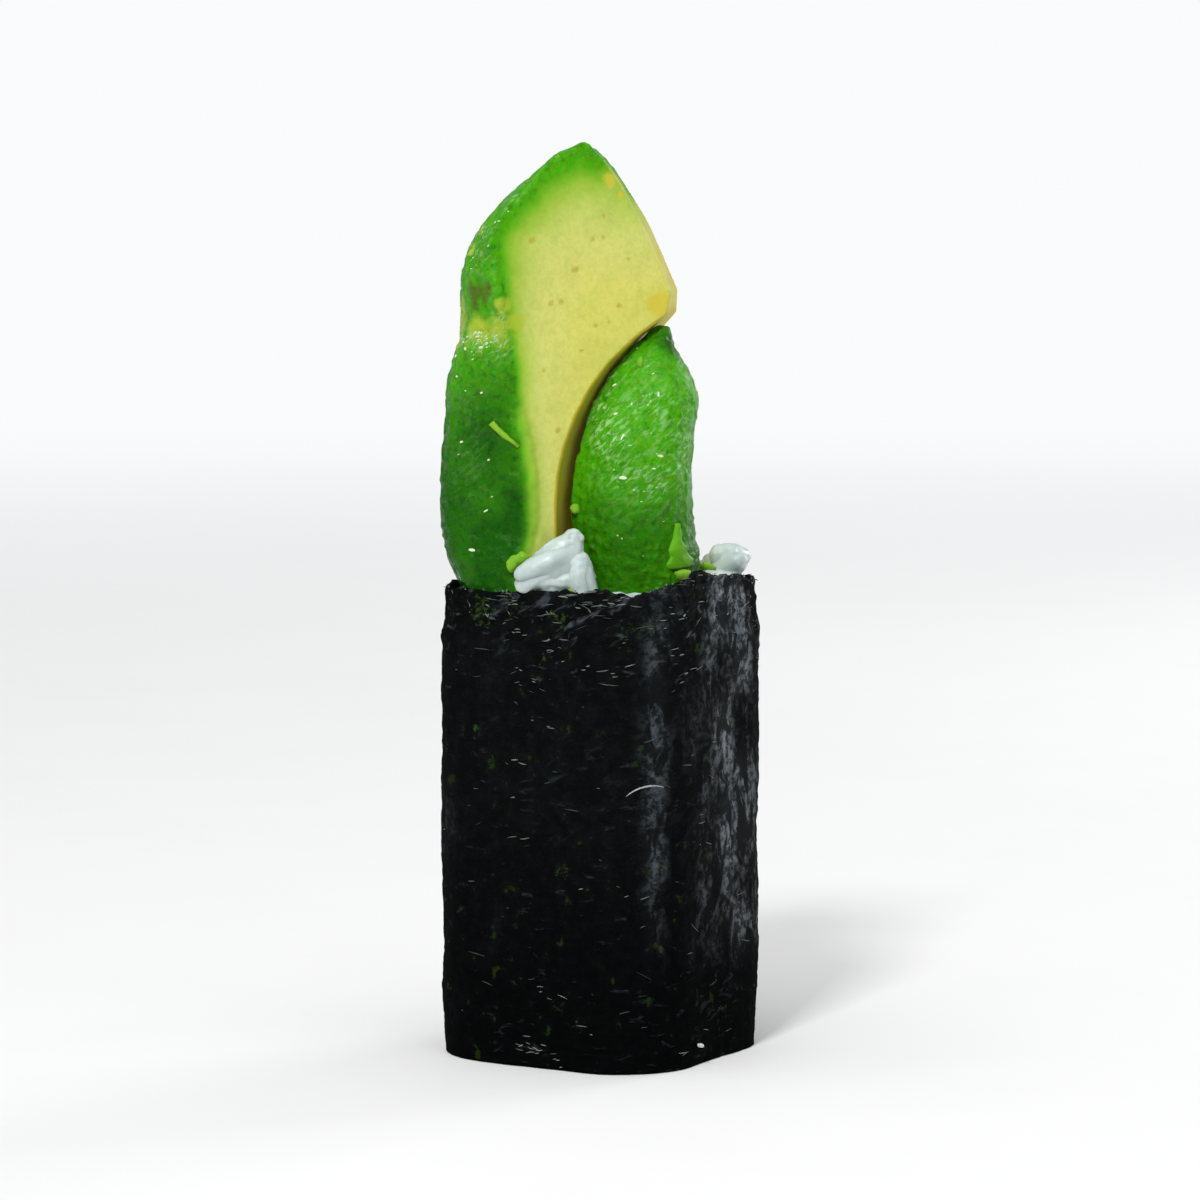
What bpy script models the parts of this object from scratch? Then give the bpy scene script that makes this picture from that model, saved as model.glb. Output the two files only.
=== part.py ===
"""A piece of avocado maki stood on its cut end, with two avocado slices rising out of the rice.

Metres, +Z up. The origin is on the board under the middle of the roll, and -Y is the front: the side
where the roll's near corner, the long slice's cut face and the short slice's peeled side all show.
Every station table below reads (height, value), in millimetres.
"""

import functools
import math
import random

import bmesh
import bpy
import numpy as np
from mathutils import Vector

MM = 0.001
FIT = 0.3 * MM  # clearance between neighbours that touch in the real food

# The roll: a rounded square, turned so that one corner comes nearly to the front.
ROLL_SIDE = 27.4 * MM
ROLL_CORNER = 7.8 * MM
ROLL_TURN = math.radians(-31)
FLAT = ROLL_SIDE - 2 * ROLL_CORNER
BEND = ROLL_CORNER * math.pi / 2
PERIMETER = 4 * (FLAT + BEND)

# The sheet of nori, with its lap on the back. The rim's height is given at the middle of each flat
# and of the corner after it, from the front left flat round to the left corner.
NORI_THICKNESS = 0.45 * MM
NORI_FOOT = 0.4 * MM
NORI_LAP = 9 * MM
LAP_GAP = 0.15 * MM
LAP_RISE = 2.5 * MM
RIM_HEIGHTS = (46.9, 47.6, 48.2, 47.0, 47.5, 47.1, 47.4, 46.8)
RELIEF = 0.14 * MM
RELIEF_ROUND = (9, 5)
RIM_TUCK = 0.5 * MM
RIM_TUCK_FROM = 41 * MM
FOOT_TUCK = 0.35 * MM
FOOT_TUCK_TO = 4 * MM
NORI_COLUMNS = 96
NORI_ROWS = 9

# The long slice: a wedge of avocado whose flat cut face looks to the front and a little right.
TIP_X = -1.8 * MM
TIP_HEIGHT = 90.2 * MM
TIP_DEPTH = 2.5 * MM
TIP_BLUNTNESS = 0.25 * MM
CHIN_X = 7.5 * MM
CHIN_HEIGHT = 74 * MM
CHIN_SOFTNESS = 0.8 * MM
CORE_CURVE = 0.66
SHOULDER_HEIGHT = 76 * MM
SHOULDER_REACH = 11.9 * MM
SHOULDER_CURVE = 0.85
PIT_X = 16.7 * MM
PIT_HEIGHT = 54.9 * MM
PIT_RADIUS = 21 * MM
FACE_POINT = (-7.1 * MM, -8.95 * MM)
FACE_SLOPE = math.tan(math.radians(25))
FACE_LEAN = 0.03
WEDGE_SPREAD = 0.45
DEPTH_CURVE = 0.7
CHIN_SLOPE = 0.14
CAVITY_SLOPE = 0.45
CAVITY_HOLLOW = 0.06
CAVITY_BLEND = 8 * MM
BACK_SHARE = 0.24
BELLY_FORWARD = 1.2 * MM
LONG_SKIN = ((0, -10.2), (40, -12.4), (47, -14.1), (51, -15.7), (56, -16.0), (64, -15.4), (76, -13.7))
LONG_EDGE = ((0, -6.0), (40, -8.0), (48, -7.8), (53, -6.6), (59, -6.8), (66, -8.4), (72, -9.3), (81.7, -10.8))
LONG_CORE = ((0, -1.6), (40, -3.6), (54.9, -4.3))
LONG_DEPTH = ((0, 8.4), (40, 6.0), (47.5, 5.6), (60, 6.8), (74, 6.6))
LONG_SIDES = (6, 5, 6, 9)
LONG_ROWS = 34

# The short slice: a rounded wedge nestled in the long one's pit hollow, peeled side to the front.
SHORT_TOP = 72.2 * MM
SHORT_GAP = 1.2 * FIT
SHORT_LEAST = 0.7 * MM
SHORT_BEHIND = ((0, 0.9), (44, 1.4), (52, 2.3))
SHORT_RIGHT = ((0, 8.6), (40, 9.4), (48, 10.1), (52, 9.1), (60, 9.15), (65.5, 9.6), (69.3, 7.9), (72.2, 6.8))
SHORT_FRONT = ((0, -8.4), (47, -8.7), (60, -8.2), (66, -6.4), (70, -3.6), (72.2, -1.2))
SHORT_SIDE = ((0, -2.5), (60, -2.5), (70, -0.8), (72.2, 0.2))
SHORT_REACH = ((0, 10.5), (60, 9.0), (68, 7.0), (72.2, 4.2))
SHORT_SIDES = (9, 6, 6)
SHORT_ROWS = 24

# Rice: a core with the grains that show fused on to its two ends.
RICE_TOP = 45.2 * MM
RICE_TOP_SLOPE = 0.1
RICE_UNDER = 0.9 * MM
RICE_STEPS = 56
CHANNEL_SIDES = 32
CHANNEL_LEVELS = (-3, 8, 18, 28, 36, 41, 44, 47, 50, 54, 58)
GRAIN_LENGTH = 6.4 * MM
GRAIN_WIDTH = 3.0 * MM
GRAIN_DEPTH = 2.6 * MM
GRAIN_SIDES = 6
GRAIN_RINGS = 5
GRAIN_BLUNTNESS = 0.8
GRAIN_APART = 2.5 * MM
GRAIN_SHORTER = 0.4
GRAIN_TILT = 0.35
GRAIN_LIFT = (0.2 * MM, 1.1 * MM)
GRAIN_SEED = 7
GRAIN_DARTS = 12000
KEEP_STEP = 0.4 * MM
KEEP_CLEAR = 1.4 * FIT
# A few stand up over the rim, in front of the gap between the slices and at the right corner:
# the middle of each, and how it leans.
STANDING_GRAINS = (
    ((-2.9, -10.1, 50.0), (0.1, 0.05, 1.0)),
    ((-5.8, -10.9, 49.5), (0.85, 0.0, 0.42)),
    ((-1.2, -10.6, 47.8), (-0.5, 0.1, 0.85)),
    ((-4.6, -10.3, 47.2), (0.25, 0.0, 1.0)),
    ((12.2, 0.6, 47.9), (0.45, -0.35, 0.35)),
    ((11.4, 4.2, 47.7), (0.3, 0.6, 0.3)),
)

NORI_COLOUR = (0.012, 0.016, 0.013)
RICE_COLOUR = (0.72, 0.76, 0.74)
AVOCADO_COLOUR = (0.36, 0.52, 0.05)
SHARP_ANGLE = math.radians(35)


def clear_scene():
    for thing in list(bpy.data.objects):
        bpy.data.objects.remove(thing)


def smooth(share):
    """0 to 1 with no slope at either end."""
    share = min(1.0, max(0.0, share))
    return share * share * (3 - 2 * share)


def along(stations, height):
    """The value at a height on a smooth curve through a table of stations, held level past its ends."""
    heights = [station[0] * MM for station in stations]
    values = [station[1] * MM for station in stations]
    if height <= heights[0]:
        return values[0]
    if height >= heights[-1]:
        return values[-1]
    after = next(i for i, h in enumerate(heights) if h > height)
    span = heights[after] - heights[after - 1]
    slopes = [limited_slope(heights, values, i) for i in (after - 1, after)]
    t = (height - heights[after - 1]) / span
    rise = values[after] - values[after - 1]
    bend = t * (1 - t) * ((slopes[0] * span - rise) * (1 - t) - (slopes[1] * span - rise) * t)
    return values[after - 1] + rise * t + bend


def limited_slope(heights, values, i):
    """The curve's slope at a station: none at a turning point or an end, so that it never overshoots."""
    if i in (0, len(heights) - 1):
        return 0.0
    before = (values[i] - values[i - 1]) / (heights[i] - heights[i - 1])
    behind = (values[i + 1] - values[i]) / (heights[i + 1] - heights[i])
    if before * behind <= 0:
        return 0.0
    return 2 * before * behind / (before + behind)


def roll_point(distance, inset):
    """A point on the roll's outline, a distance round it from the left end of the front left flat."""
    stretch, rest = divmod(distance % PERIMETER, FLAT + BEND)
    half = FLAT / 2
    if rest < FLAT:
        x, y = rest - half, -ROLL_SIDE / 2 + inset
    else:
        angle = (rest - FLAT) / ROLL_CORNER - math.pi / 2
        x = half + (ROLL_CORNER - inset) * math.cos(angle)
        y = -half + (ROLL_CORNER - inset) * math.sin(angle)
    turn = ROLL_TURN + stretch * math.pi / 2
    return (x * math.cos(turn) - y * math.sin(turn), x * math.sin(turn) + y * math.cos(turn))


def rim_height(distance):
    """The nori's cut edge, which wavers between the heights at its flats and corners."""
    place = (distance - FLAT / 2) / ((FLAT + BEND) / 2) % 8
    first = int(place)
    share = smooth(place - first)
    return (RIM_HEIGHTS[first] * (1 - share) + RIM_HEIGHTS[(first + 1) % 8] * share) * MM


def tuck(height):
    """How far the roll draws in near its two ends."""
    top = smooth((height - RIM_TUCK_FROM) / (RIM_HEIGHTS[0] * MM - RIM_TUCK_FROM))
    foot = smooth(1 - height / FOOT_TUCK_TO)
    return RIM_TUCK * top + FOOT_TUCK * foot


def relief(distance, height):
    """Low swells in the sheet, where it has taken up the shape of the rice behind it."""
    turns = 2 * math.pi * distance / PERIMETER
    tall = 2 * math.pi * height / (RIM_HEIGHTS[0] * MM)
    many, few = RELIEF_ROUND
    return RELIEF / 2 * (math.sin(many * turns + 2 * math.sin(tall)) + math.sin(few * turns - 3 * tall))


def loft(name, rings, colour, roughness):
    """A closed solid through rings of equal length, lowest first, with its two ends filled."""
    mesh = bmesh.new()
    levels = [[mesh.verts.new(point) for point in ring] for ring in rings]
    count = len(levels[0])
    for low, high in zip(levels, levels[1:]):
        for i in range(count):
            k = (i + 1) % count
            mesh.faces.new((low[i], low[k], high[k], high[i]))
    mesh.faces.new(reversed(levels[0]))
    top = mesh.faces.new(levels[-1])
    bmesh.ops.poke(mesh, faces=[top])
    return finished(name, mesh, colour, roughness)


def finished(name, mesh, colour, roughness):
    """A named object of a bmesh, in triangles, with its own material."""
    bmesh.ops.triangulate(mesh, faces=[face for face in mesh.faces if len(face.verts) > 3])
    bmesh.ops.recalc_face_normals(mesh, faces=mesh.faces)
    data = bpy.data.meshes.new(name)
    mesh.to_mesh(data)
    mesh.free()
    data.shade_smooth()
    data.set_sharp_from_angle(angle=SHARP_ANGLE)
    thing = bpy.data.objects.new(name, data)
    material = bpy.data.materials.new(name)
    material.use_nodes = True
    shader = material.node_tree.nodes["Principled BSDF"]
    shader.inputs["Base Color"].default_value = (*colour, 1)
    shader.inputs["Roughness"].default_value = roughness
    shader.inputs["Metallic"].default_value = 0
    data.materials.append(material)
    bpy.context.scene.collection.objects.link(thing)
    return thing


def nori():
    """The sheet: once round the roll and over its own start, as a thin closed skin."""
    start = 2 * (FLAT + BEND) + (FLAT - NORI_LAP) / 2
    run = PERIMETER + NORI_LAP
    mesh = bmesh.new()
    skins = []
    for depth in (0, NORI_THICKNESS):
        skin = []
        for column in range(NORI_COLUMNS + 1):
            done = run * column / NORI_COLUMNS
            lift = (NORI_THICKNESS + LAP_GAP) * smooth((done - PERIMETER + LAP_RISE) / LAP_RISE)
            rim = rim_height(start + done)
            line = []
            for row in range(NORI_ROWS + 1):
                height = NORI_FOOT + (rim - NORI_FOOT) * row / NORI_ROWS
                inset = RELIEF + depth - lift + tuck(height) - relief(start + done, height)
                line.append(mesh.verts.new((*roll_point(start + done, inset), height)))
            skin.append(line)
        skins.append(skin)
    outer, inner = skins
    for i in range(NORI_COLUMNS):
        for k in range(NORI_ROWS):
            mesh.faces.new((outer[i][k], outer[i + 1][k], outer[i + 1][k + 1], outer[i][k + 1]))
            mesh.faces.new((inner[i][k], inner[i][k + 1], inner[i + 1][k + 1], inner[i + 1][k]))
        for k in (0, NORI_ROWS):
            mesh.faces.new((outer[i][k], inner[i][k], inner[i + 1][k], outer[i + 1][k]))
    for i in (0, NORI_COLUMNS):
        for k in range(NORI_ROWS):
            mesh.faces.new((outer[i][k], outer[i][k + 1], inner[i][k + 1], inner[i][k]))
    return finished("nori", mesh, NORI_COLOUR, 0.45)


def face_depth(x, height):
    """How far back the long slice's cut face lies, as a flat plane."""
    lean = FACE_LEAN * max(0.0, height - RIM_HEIGHTS[0] * MM)
    return FACE_POINT[1] + FACE_SLOPE * (x - FACE_POINT[0]) + lean


def core_line(height):
    """The right edge where the avocado was halved, from the tip to the chin over the pit."""
    down = max(0.0, (TIP_HEIGHT - height) / (TIP_HEIGHT - CHIN_HEIGHT))
    return TIP_X + (CHIN_X - TIP_X) * min(down, 1.1) ** CORE_CURVE


def core_edge(height):
    """The right edge of the cut face: the halved edge above, then the pit's round hollow."""
    if height <= PIT_HEIGHT:
        return along(LONG_CORE, height)
    up = min(PIT_RADIUS, height - PIT_HEIGHT)
    pit = PIT_X - math.sqrt(PIT_RADIUS**2 - up**2)
    line = core_line(height)
    return min(pit, line) - CHIN_SOFTNESS * math.log1p(math.exp(-abs(line - pit) / CHIN_SOFTNESS))


def skin_side(height):
    """The left outline of the long slice: the avocado's blunt shoulder, then its belly."""
    if height < SHOULDER_HEIGHT:
        return along(LONG_SKIN, height)
    up = min(1.0, (height - SHOULDER_HEIGHT) / (TIP_HEIGHT - SHOULDER_HEIGHT))
    return TIP_X - SHOULDER_REACH * (1 - up * up) ** SHOULDER_CURVE


def skin_edge(height):
    """Where the peeled side meets the cut face."""
    top, x = LONG_EDGE[-1]
    if height < top * MM:
        return along(LONG_EDGE, height)
    share = (TIP_X - skin_side(height)) / (TIP_X - skin_side(top * MM))
    return skin_side(height) + (x * MM - skin_side(top * MM)) * share


def core_side(height, depth, reach):
    """A point on the long slice's pit side, a depth behind its cut face."""
    core = core_edge(height)
    down = smooth((CHIN_HEIGHT - height) / CAVITY_BLEND)
    slope = CHIN_SLOPE + (CAVITY_SLOPE - CHIN_SLOPE) * down
    share = depth / reach
    hollow = 4 * CAVITY_HOLLOW * reach * down * share * (1 - share)
    return Vector((core + slope * depth - hollow, face_depth(core, height) + depth))


def core_reach(height):
    """How deep the long slice is along its pit side."""
    down = max(0.0, min(1.0, (TIP_HEIGHT - height) / (TIP_HEIGHT - CHIN_HEIGHT)))
    depth = TIP_DEPTH + (along(LONG_DEPTH, height) - TIP_DEPTH) * down**DEPTH_CURVE
    return depth + WEDGE_SPREAD * (core_line(height) - core_edge(height))


def bezier(a, b, c, d, shares):
    """Points of a cubic curve."""
    return [a * (1 - t) ** 3 + b * 3 * t * (1 - t) ** 2 + c * 3 * t * t * (1 - t) + d * t**3 for t in shares]


def two_curves(first, second, count):
    """Points along two cubic curves that meet."""
    shares = [0.05 + 1.9 * i / (count - 1) for i in range(count)]
    return bezier(*first, [t for t in shares if t < 1]) + bezier(*second, [t - 1 for t in shares if t >= 1])


def shares_of(count):
    """Even shares along a side, kept off its two corners, which are rounded."""
    return [0.06 + 0.88 * i / (count - 1) for i in range(count)]


def rounded_ring(sides, height):
    """A ring from its sides in turn, with one more point easing each corner between two of them."""
    ring = []
    for side, following in zip(sides, sides[1:] + sides[:1]):
        ring += side
        corner = (side[-1] + (side[-1] - side[-2]) * 0.35 + following[0] + (following[0] - following[1]) * 0.35) / 2
        ring.append(corner)
    return [(point.x, point.y, height) for point in ring]


def long_ring(height, grow=0.0):
    """The long slice cut across at a height: cut face, pit side, back face, peeled side."""
    core = core_edge(height)
    edge = min(skin_edge(height), core - TIP_BLUNTNESS)
    left = skin_side(height)
    down = min(1.0, (TIP_HEIGHT - height) / (TIP_HEIGHT - CHIN_HEIGHT))
    reach = core_reach(height)
    front_left = Vector((edge, face_depth(edge, height)))
    front_right = Vector((core, face_depth(core, height)))
    back_right = core_side(height, reach, reach)
    back_left_x = left + BACK_SHARE * (core - left)
    spread = WEDGE_SPREAD * (core - back_left_x)
    back_left = Vector((back_left_x, face_depth(back_left_x, height) + reach + spread))
    middle = Vector((left, (front_left.y * 0.45 + back_left.y * 0.55) - BELLY_FORWARD * down))
    sides = [
        [front_left.lerp(front_right, t) for t in shares_of(LONG_SIDES[0])],
        [core_side(height, reach * t, reach) for t in shares_of(LONG_SIDES[1])],
        [back_right.lerp(back_left, t) for t in shares_of(LONG_SIDES[2])],
    ]
    rear, fore = Vector((0, 0.5 * (back_left.y - middle.y))), Vector((0, 0.55 * (front_left.y - middle.y)))
    first = (back_left, back_left.lerp(middle, 0.4), middle + rear, middle)
    second = (middle, middle + fore, front_left.lerp(middle + fore, 0.45), front_left)
    sides.append(two_curves(first, second, LONG_SIDES[3]))
    return grown(rounded_ring(sides, height), grow)


def short_ring(height, grow=0.0):
    """The short slice cut across: peeled side from left to right, then its two cut faces."""
    reach, near, far = core_reach(height), along(SHORT_BEHIND, height), along(SHORT_REACH, height)
    gap = Vector((SHORT_GAP, 0))
    near_left = core_side(height, near, reach) + gap
    back = core_side(height, far, reach) + gap
    right = max(along(SHORT_RIGHT, height), near_left.x + SHORT_LEAST)
    near_right = Vector((right, along(SHORT_SIDE, height)))
    front_x = (near_left.x + right) / 2 + SHORT_LEAST / 2
    front = Vector((front_x, min(along(SHORT_FRONT, height), near_left.y - SHORT_LEAST / 3)))
    across = Vector((0.55 * (right - near_left.x) / 2, 0))
    deep = Vector((0, 0.6 * (front.y - near_right.y)))
    first = (near_left, near_left.lerp(front - across, 0.5), front - across, front)
    second = (front, front + across, near_right + deep, near_right)
    sides = [
        two_curves(first, second, SHORT_SIDES[0]),
        [near_right.lerp(back, t) for t in shares_of(SHORT_SIDES[1])],
        [core_side(height, far + (near - far) * t, reach) + gap for t in shares_of(SHORT_SIDES[2])],
    ]
    return grown(rounded_ring(sides, height), grow)


def grown(ring, by):
    """The ring with each point moved out from its middle."""
    if not by:
        return ring
    middle = sum((Vector(point) for point in ring), Vector()) / len(ring)
    return [tuple(Vector(p) + (Vector(p) - middle).normalized() * by) for p in ring]


def levels(top, rows):
    """Heights from the board to the top, closer together towards the top."""
    return [top * (1 - (1 - i / rows) ** 1.5) for i in range(rows + 1)]


def long_slice():
    heights = levels(TIP_HEIGHT - TIP_BLUNTNESS, LONG_ROWS)
    return loft("avocado_slice_long", [long_ring(h) for h in heights], AVOCADO_COLOUR, 0.35)


def short_slice():
    heights = levels(SHORT_TOP, SHORT_ROWS)
    return loft("avocado_slice_short", [short_ring(h) for h in heights], AVOCADO_COLOUR, 0.35)


def channel_ring(height):
    """Straight sides drawn round both slices, clear of them: the way that the filling takes."""
    points = np.array([p[:2] for p in long_ring(height) + short_ring(height)])
    angles = [2 * math.pi * i / CHANNEL_SIDES for i in range(CHANNEL_SIDES)]
    reach = [(points @ (math.cos(a), math.sin(a))).max() + FIT for a in angles]
    ring = []
    for i, angle in enumerate(angles):
        following = reach[(i + 1) % CHANNEL_SIDES]
        step = 2 * math.pi / CHANNEL_SIDES
        along_edge = (following - reach[i] * math.cos(step)) / math.sin(step)
        x = reach[i] * math.cos(angle) - along_edge * math.sin(angle)
        y = reach[i] * math.sin(angle) + along_edge * math.cos(angle)
        ring.append((x, y, height))
    return ring


def rice_edge(height):
    """How far the rice keeps inside the roll's outline, clear of the nori."""
    return 2 * RELIEF + NORI_THICKNESS + FIT + tuck(height)


def rice_core():
    """The body of rice, up to a top that falls a little to the left."""
    steps = [PERIMETER * i / RICE_STEPS for i in range(RICE_STEPS)]
    rings = []
    for height in (RICE_UNDER, FOOT_TUCK_TO, RIM_TUCK_FROM):
        rings.append([(*roll_point(d, rice_edge(height)), height) for d in steps])
    top = [roll_point(d, rice_edge(RIM_HEIGHTS[0] * MM)) for d in steps]
    rings.append([(x, y, RICE_TOP + RICE_TOP_SLOPE * x) for x, y in top])
    return loft("rice", rings, RICE_COLOUR, 0.5)


def inside(ring, x, y):
    """Whether a point lies within a ring seen from above."""
    found = False
    for (ax, ay, _), (bx, by, _) in zip(ring, ring[1:] + ring[:1]):
        if (ay > y) != (by > y) and x < ax + (bx - ax) * (y - ay) / (by - ay):
            found = not found
    return found


@functools.cache
def keep_outs(level):
    """The two slices and the inner face of the nori near a height, as rings to keep clear of."""
    height = level * KEEP_STEP
    slices = [ring(max(0.0, height), KEEP_CLEAR) for ring in (long_ring, short_ring)]
    wall = [(*roll_point(PERIMETER * i / RICE_STEPS, rice_edge(height)), height) for i in range(RICE_STEPS)]
    return slices, wall


def is_clear(points):
    """Whether a grain's points keep clear of both slices and, below the rim, of the nori."""
    for x, y, height in points:
        slices, wall = keep_outs(round(height / KEEP_STEP))
        if any(inside(ring, x, y) for ring in slices):
            return False
        if height < max(RIM_HEIGHTS) * MM and not inside(wall, x, y):
            return False
    return True


def covers_corner(middle, angle, length):
    """Whether a grain seen from above lies over a corner of either slice."""
    slices, _ = keep_outs(round(middle[2] / KEEP_STEP))
    for x, y, _ in (point for ring in slices for point in ring):
        x, y = x - middle[0], y - middle[1]
        ahead, aside = x * math.cos(angle) + y * math.sin(angle), y * math.cos(angle) - x * math.sin(angle)
        if abs(ahead) < length / 2 and abs(aside) < GRAIN_WIDTH / 2:
            return True
    return False


def grain_points(middle, way, length=GRAIN_LENGTH):
    """Rings of points on a grain: an egg drawn out along the way that it lies."""
    turn = Vector(way).to_track_quat("Z", "Y")
    rings = []
    for k in range(1, GRAIN_RINGS):
        angle = math.pi * k / GRAIN_RINGS
        size = math.sin(angle) ** GRAIN_BLUNTNESS
        rings.append([
            Vector(middle) + turn @ Vector((
                GRAIN_WIDTH / 2 * size * math.cos(2 * math.pi * i / GRAIN_SIDES),
                GRAIN_DEPTH / 2 * size * math.sin(2 * math.pi * i / GRAIN_SIDES),
                -length / 2 * math.cos(angle),
            ))
            for i in range(GRAIN_SIDES)
        ])
    ends = [Vector(middle) + turn @ Vector((0, 0, s * length / 2)) for s in (-1, 1)]
    return rings, ends


def grain(rings, ends, collection):
    """One grain of rice as a closed solid."""
    mesh = bmesh.new()
    levels_of = [[mesh.verts.new(p) for p in ring] for ring in rings]
    for low, high in zip(levels_of, levels_of[1:]):
        for i in range(GRAIN_SIDES):
            k = (i + 1) % GRAIN_SIDES
            mesh.faces.new((low[i], low[k], high[k], high[i]))
    for ring, end in ((levels_of[0], ends[0]), (levels_of[-1], ends[1])):
        tip = mesh.verts.new(end)
        for i in range(GRAIN_SIDES):
            mesh.faces.new((ring[i], ring[(i + 1) % GRAIN_SIDES], tip))
    bmesh.ops.recalc_face_normals(mesh, faces=mesh.faces)
    data = bpy.data.meshes.new("grain")
    mesh.to_mesh(data)
    mesh.free()
    collection.objects.link(bpy.data.objects.new("grain", data))


def rice_grains(collection):
    """Grains spread over both ends of the rice, the longest first, and the few that stand."""
    draw = random.Random(GRAIN_SEED)
    for end in ("top", "under"):
        placed = []
        for dart in range(GRAIN_DARTS):
            length = GRAIN_LENGTH * (1 - GRAIN_SHORTER * dart / GRAIN_DARTS)
            x, y = (draw.uniform(-ROLL_SIDE, ROLL_SIDE) * 0.55 for _ in range(2))
            angle, tilt = draw.uniform(0, math.pi), draw.uniform(-GRAIN_TILT, GRAIN_TILT)
            if any(math.hypot(x - a, y - b) < GRAIN_APART for a, b in placed):
                continue
            z = RICE_TOP + RICE_TOP_SLOPE * x + draw.uniform(*GRAIN_LIFT)
            if end == "under":
                z, tilt = RICE_UNDER, 0
            rings, ends = grain_points((x, y, z), (math.cos(angle), math.sin(angle), tilt), length)
            clear = is_clear([p for ring in rings for p in ring] + ends)
            if clear and not covers_corner((x, y, z), angle, length):
                grain(rings, ends, collection)
                placed.append((x, y))
    for middle, way in STANDING_GRAINS:
        grain(*grain_points([v * MM for v in middle], way), collection)


def boolean(thing, operation, other, solver="EXACT"):
    """Applies one Boolean with an object or a collection, and removes what it used."""
    modifier = thing.modifiers.new(operation.lower(), "BOOLEAN")
    modifier.operation = operation
    modifier.solver = solver
    used = [other]
    if isinstance(other, bpy.types.Collection):
        modifier.operand_type = "COLLECTION"
        modifier.collection = other
        used = list(other.objects)
    else:
        modifier.object = other
    graph = bpy.context.evaluated_depsgraph_get()
    made = bpy.data.meshes.new_from_object(thing.evaluated_get(graph))
    thing.modifiers.clear()
    thing.data = made
    for leftover in used:
        bpy.data.objects.remove(leftover)
    if isinstance(other, bpy.types.Collection):
        bpy.data.collections.remove(other)


def keep_largest(thing):
    """Drops loose scraps and the walls of sealed hollows, and leaves the one main body."""
    mesh = bmesh.new()
    mesh.from_mesh(thing.data)
    unseen, bodies = set(mesh.verts), []
    while unseen:
        body, edge = set(), [unseen.pop()]
        while edge:
            vert = edge.pop()
            body.add(vert)
            for link in vert.link_edges:
                other = link.other_vert(vert)
                if other in unseen:
                    unseen.remove(other)
                    edge.append(other)
        bodies.append(body)
    largest = max(bodies, key=len)
    bmesh.ops.delete(mesh, geom=[v for v in mesh.verts if v not in largest], context="VERTS")
    mesh.to_mesh(thing.data)
    mesh.free()


def rice():
    """Core, less the way of the filling, with the grains that show, cut off level at the board."""
    core = rice_core()
    rings = [channel_ring(h * MM) for h in CHANNEL_LEVELS]
    boolean(core, "DIFFERENCE", loft("channel", rings, RICE_COLOUR, 0.5))
    grains = bpy.data.collections.new("grains")
    bpy.context.scene.collection.children.link(grains)
    rice_grains(grains)
    boolean(core, "UNION", grains, "MANIFOLD")
    corners = [(x * ROLL_SIDE, y * ROLL_SIDE) for x, y in ((-1, -1), (1, -1), (1, 1), (-1, 1))]
    below = loft("below", [[(x, y, z) for x, y in corners] for z in (-GRAIN_LENGTH, 0)], RICE_COLOUR, 0.5)
    boolean(core, "DIFFERENCE", below)
    keep_largest(core)
    return core


def main():
    clear_scene()
    nori()
    rice()
    long_slice()
    short_slice()


main()
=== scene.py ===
import itertools
import math
import random

import bmesh
import bpy
import numpy as np
from bpy.props import FloatProperty, FloatVectorProperty, IntProperty, PointerProperty
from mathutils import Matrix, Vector
from mathutils.bvhtree import BVHTree
from mathutils.kdtree import KDTree


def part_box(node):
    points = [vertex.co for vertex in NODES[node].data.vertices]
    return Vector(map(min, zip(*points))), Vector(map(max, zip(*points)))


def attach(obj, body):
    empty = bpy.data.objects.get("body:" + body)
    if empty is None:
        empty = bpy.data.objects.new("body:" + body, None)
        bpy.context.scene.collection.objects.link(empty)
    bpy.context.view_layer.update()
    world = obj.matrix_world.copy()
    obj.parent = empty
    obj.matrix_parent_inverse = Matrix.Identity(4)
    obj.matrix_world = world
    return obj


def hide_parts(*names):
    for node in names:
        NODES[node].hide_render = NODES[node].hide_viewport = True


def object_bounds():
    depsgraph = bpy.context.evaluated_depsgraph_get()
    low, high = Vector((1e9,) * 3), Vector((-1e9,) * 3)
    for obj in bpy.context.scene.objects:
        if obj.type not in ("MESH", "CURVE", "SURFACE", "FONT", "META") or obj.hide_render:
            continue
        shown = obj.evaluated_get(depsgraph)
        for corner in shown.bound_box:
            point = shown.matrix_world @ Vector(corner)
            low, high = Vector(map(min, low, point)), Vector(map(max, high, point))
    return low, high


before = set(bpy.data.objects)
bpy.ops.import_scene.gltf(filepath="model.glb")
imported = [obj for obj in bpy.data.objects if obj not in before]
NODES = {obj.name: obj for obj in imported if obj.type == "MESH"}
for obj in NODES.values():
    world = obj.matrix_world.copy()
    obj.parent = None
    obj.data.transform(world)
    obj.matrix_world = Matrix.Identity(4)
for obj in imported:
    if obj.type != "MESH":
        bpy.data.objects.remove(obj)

bl_info = {
    "name": "Avocado Maki",
    "version": (1, 0, 0),
    "blender": (4, 5, 0),
    "location": "3D View > Sidebar > Maki",
    "description": "Dresses plain solids as an avocado maki: nori, cooked rice and moist avocado slices",
    "category": "Object",
}

MM = 0.001
SOLID_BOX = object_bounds()

# The pale room behind the floor, as the camera sees it
ROOM_COLOUR = (0.98, 0.99, 1.0, 1.0)
ROOM_SEEN = 0.97

# The nori's size
ROLL_RADIUS = 15 * MM
RIM = 46 * MM

# The nori's mesh
FOOT = 0.06 * MM
WALL_COLUMNS = 480
WALL_ROWS = 140
WALL_SAMPLES = 24
INSIDE_ROWS = 12

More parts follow.
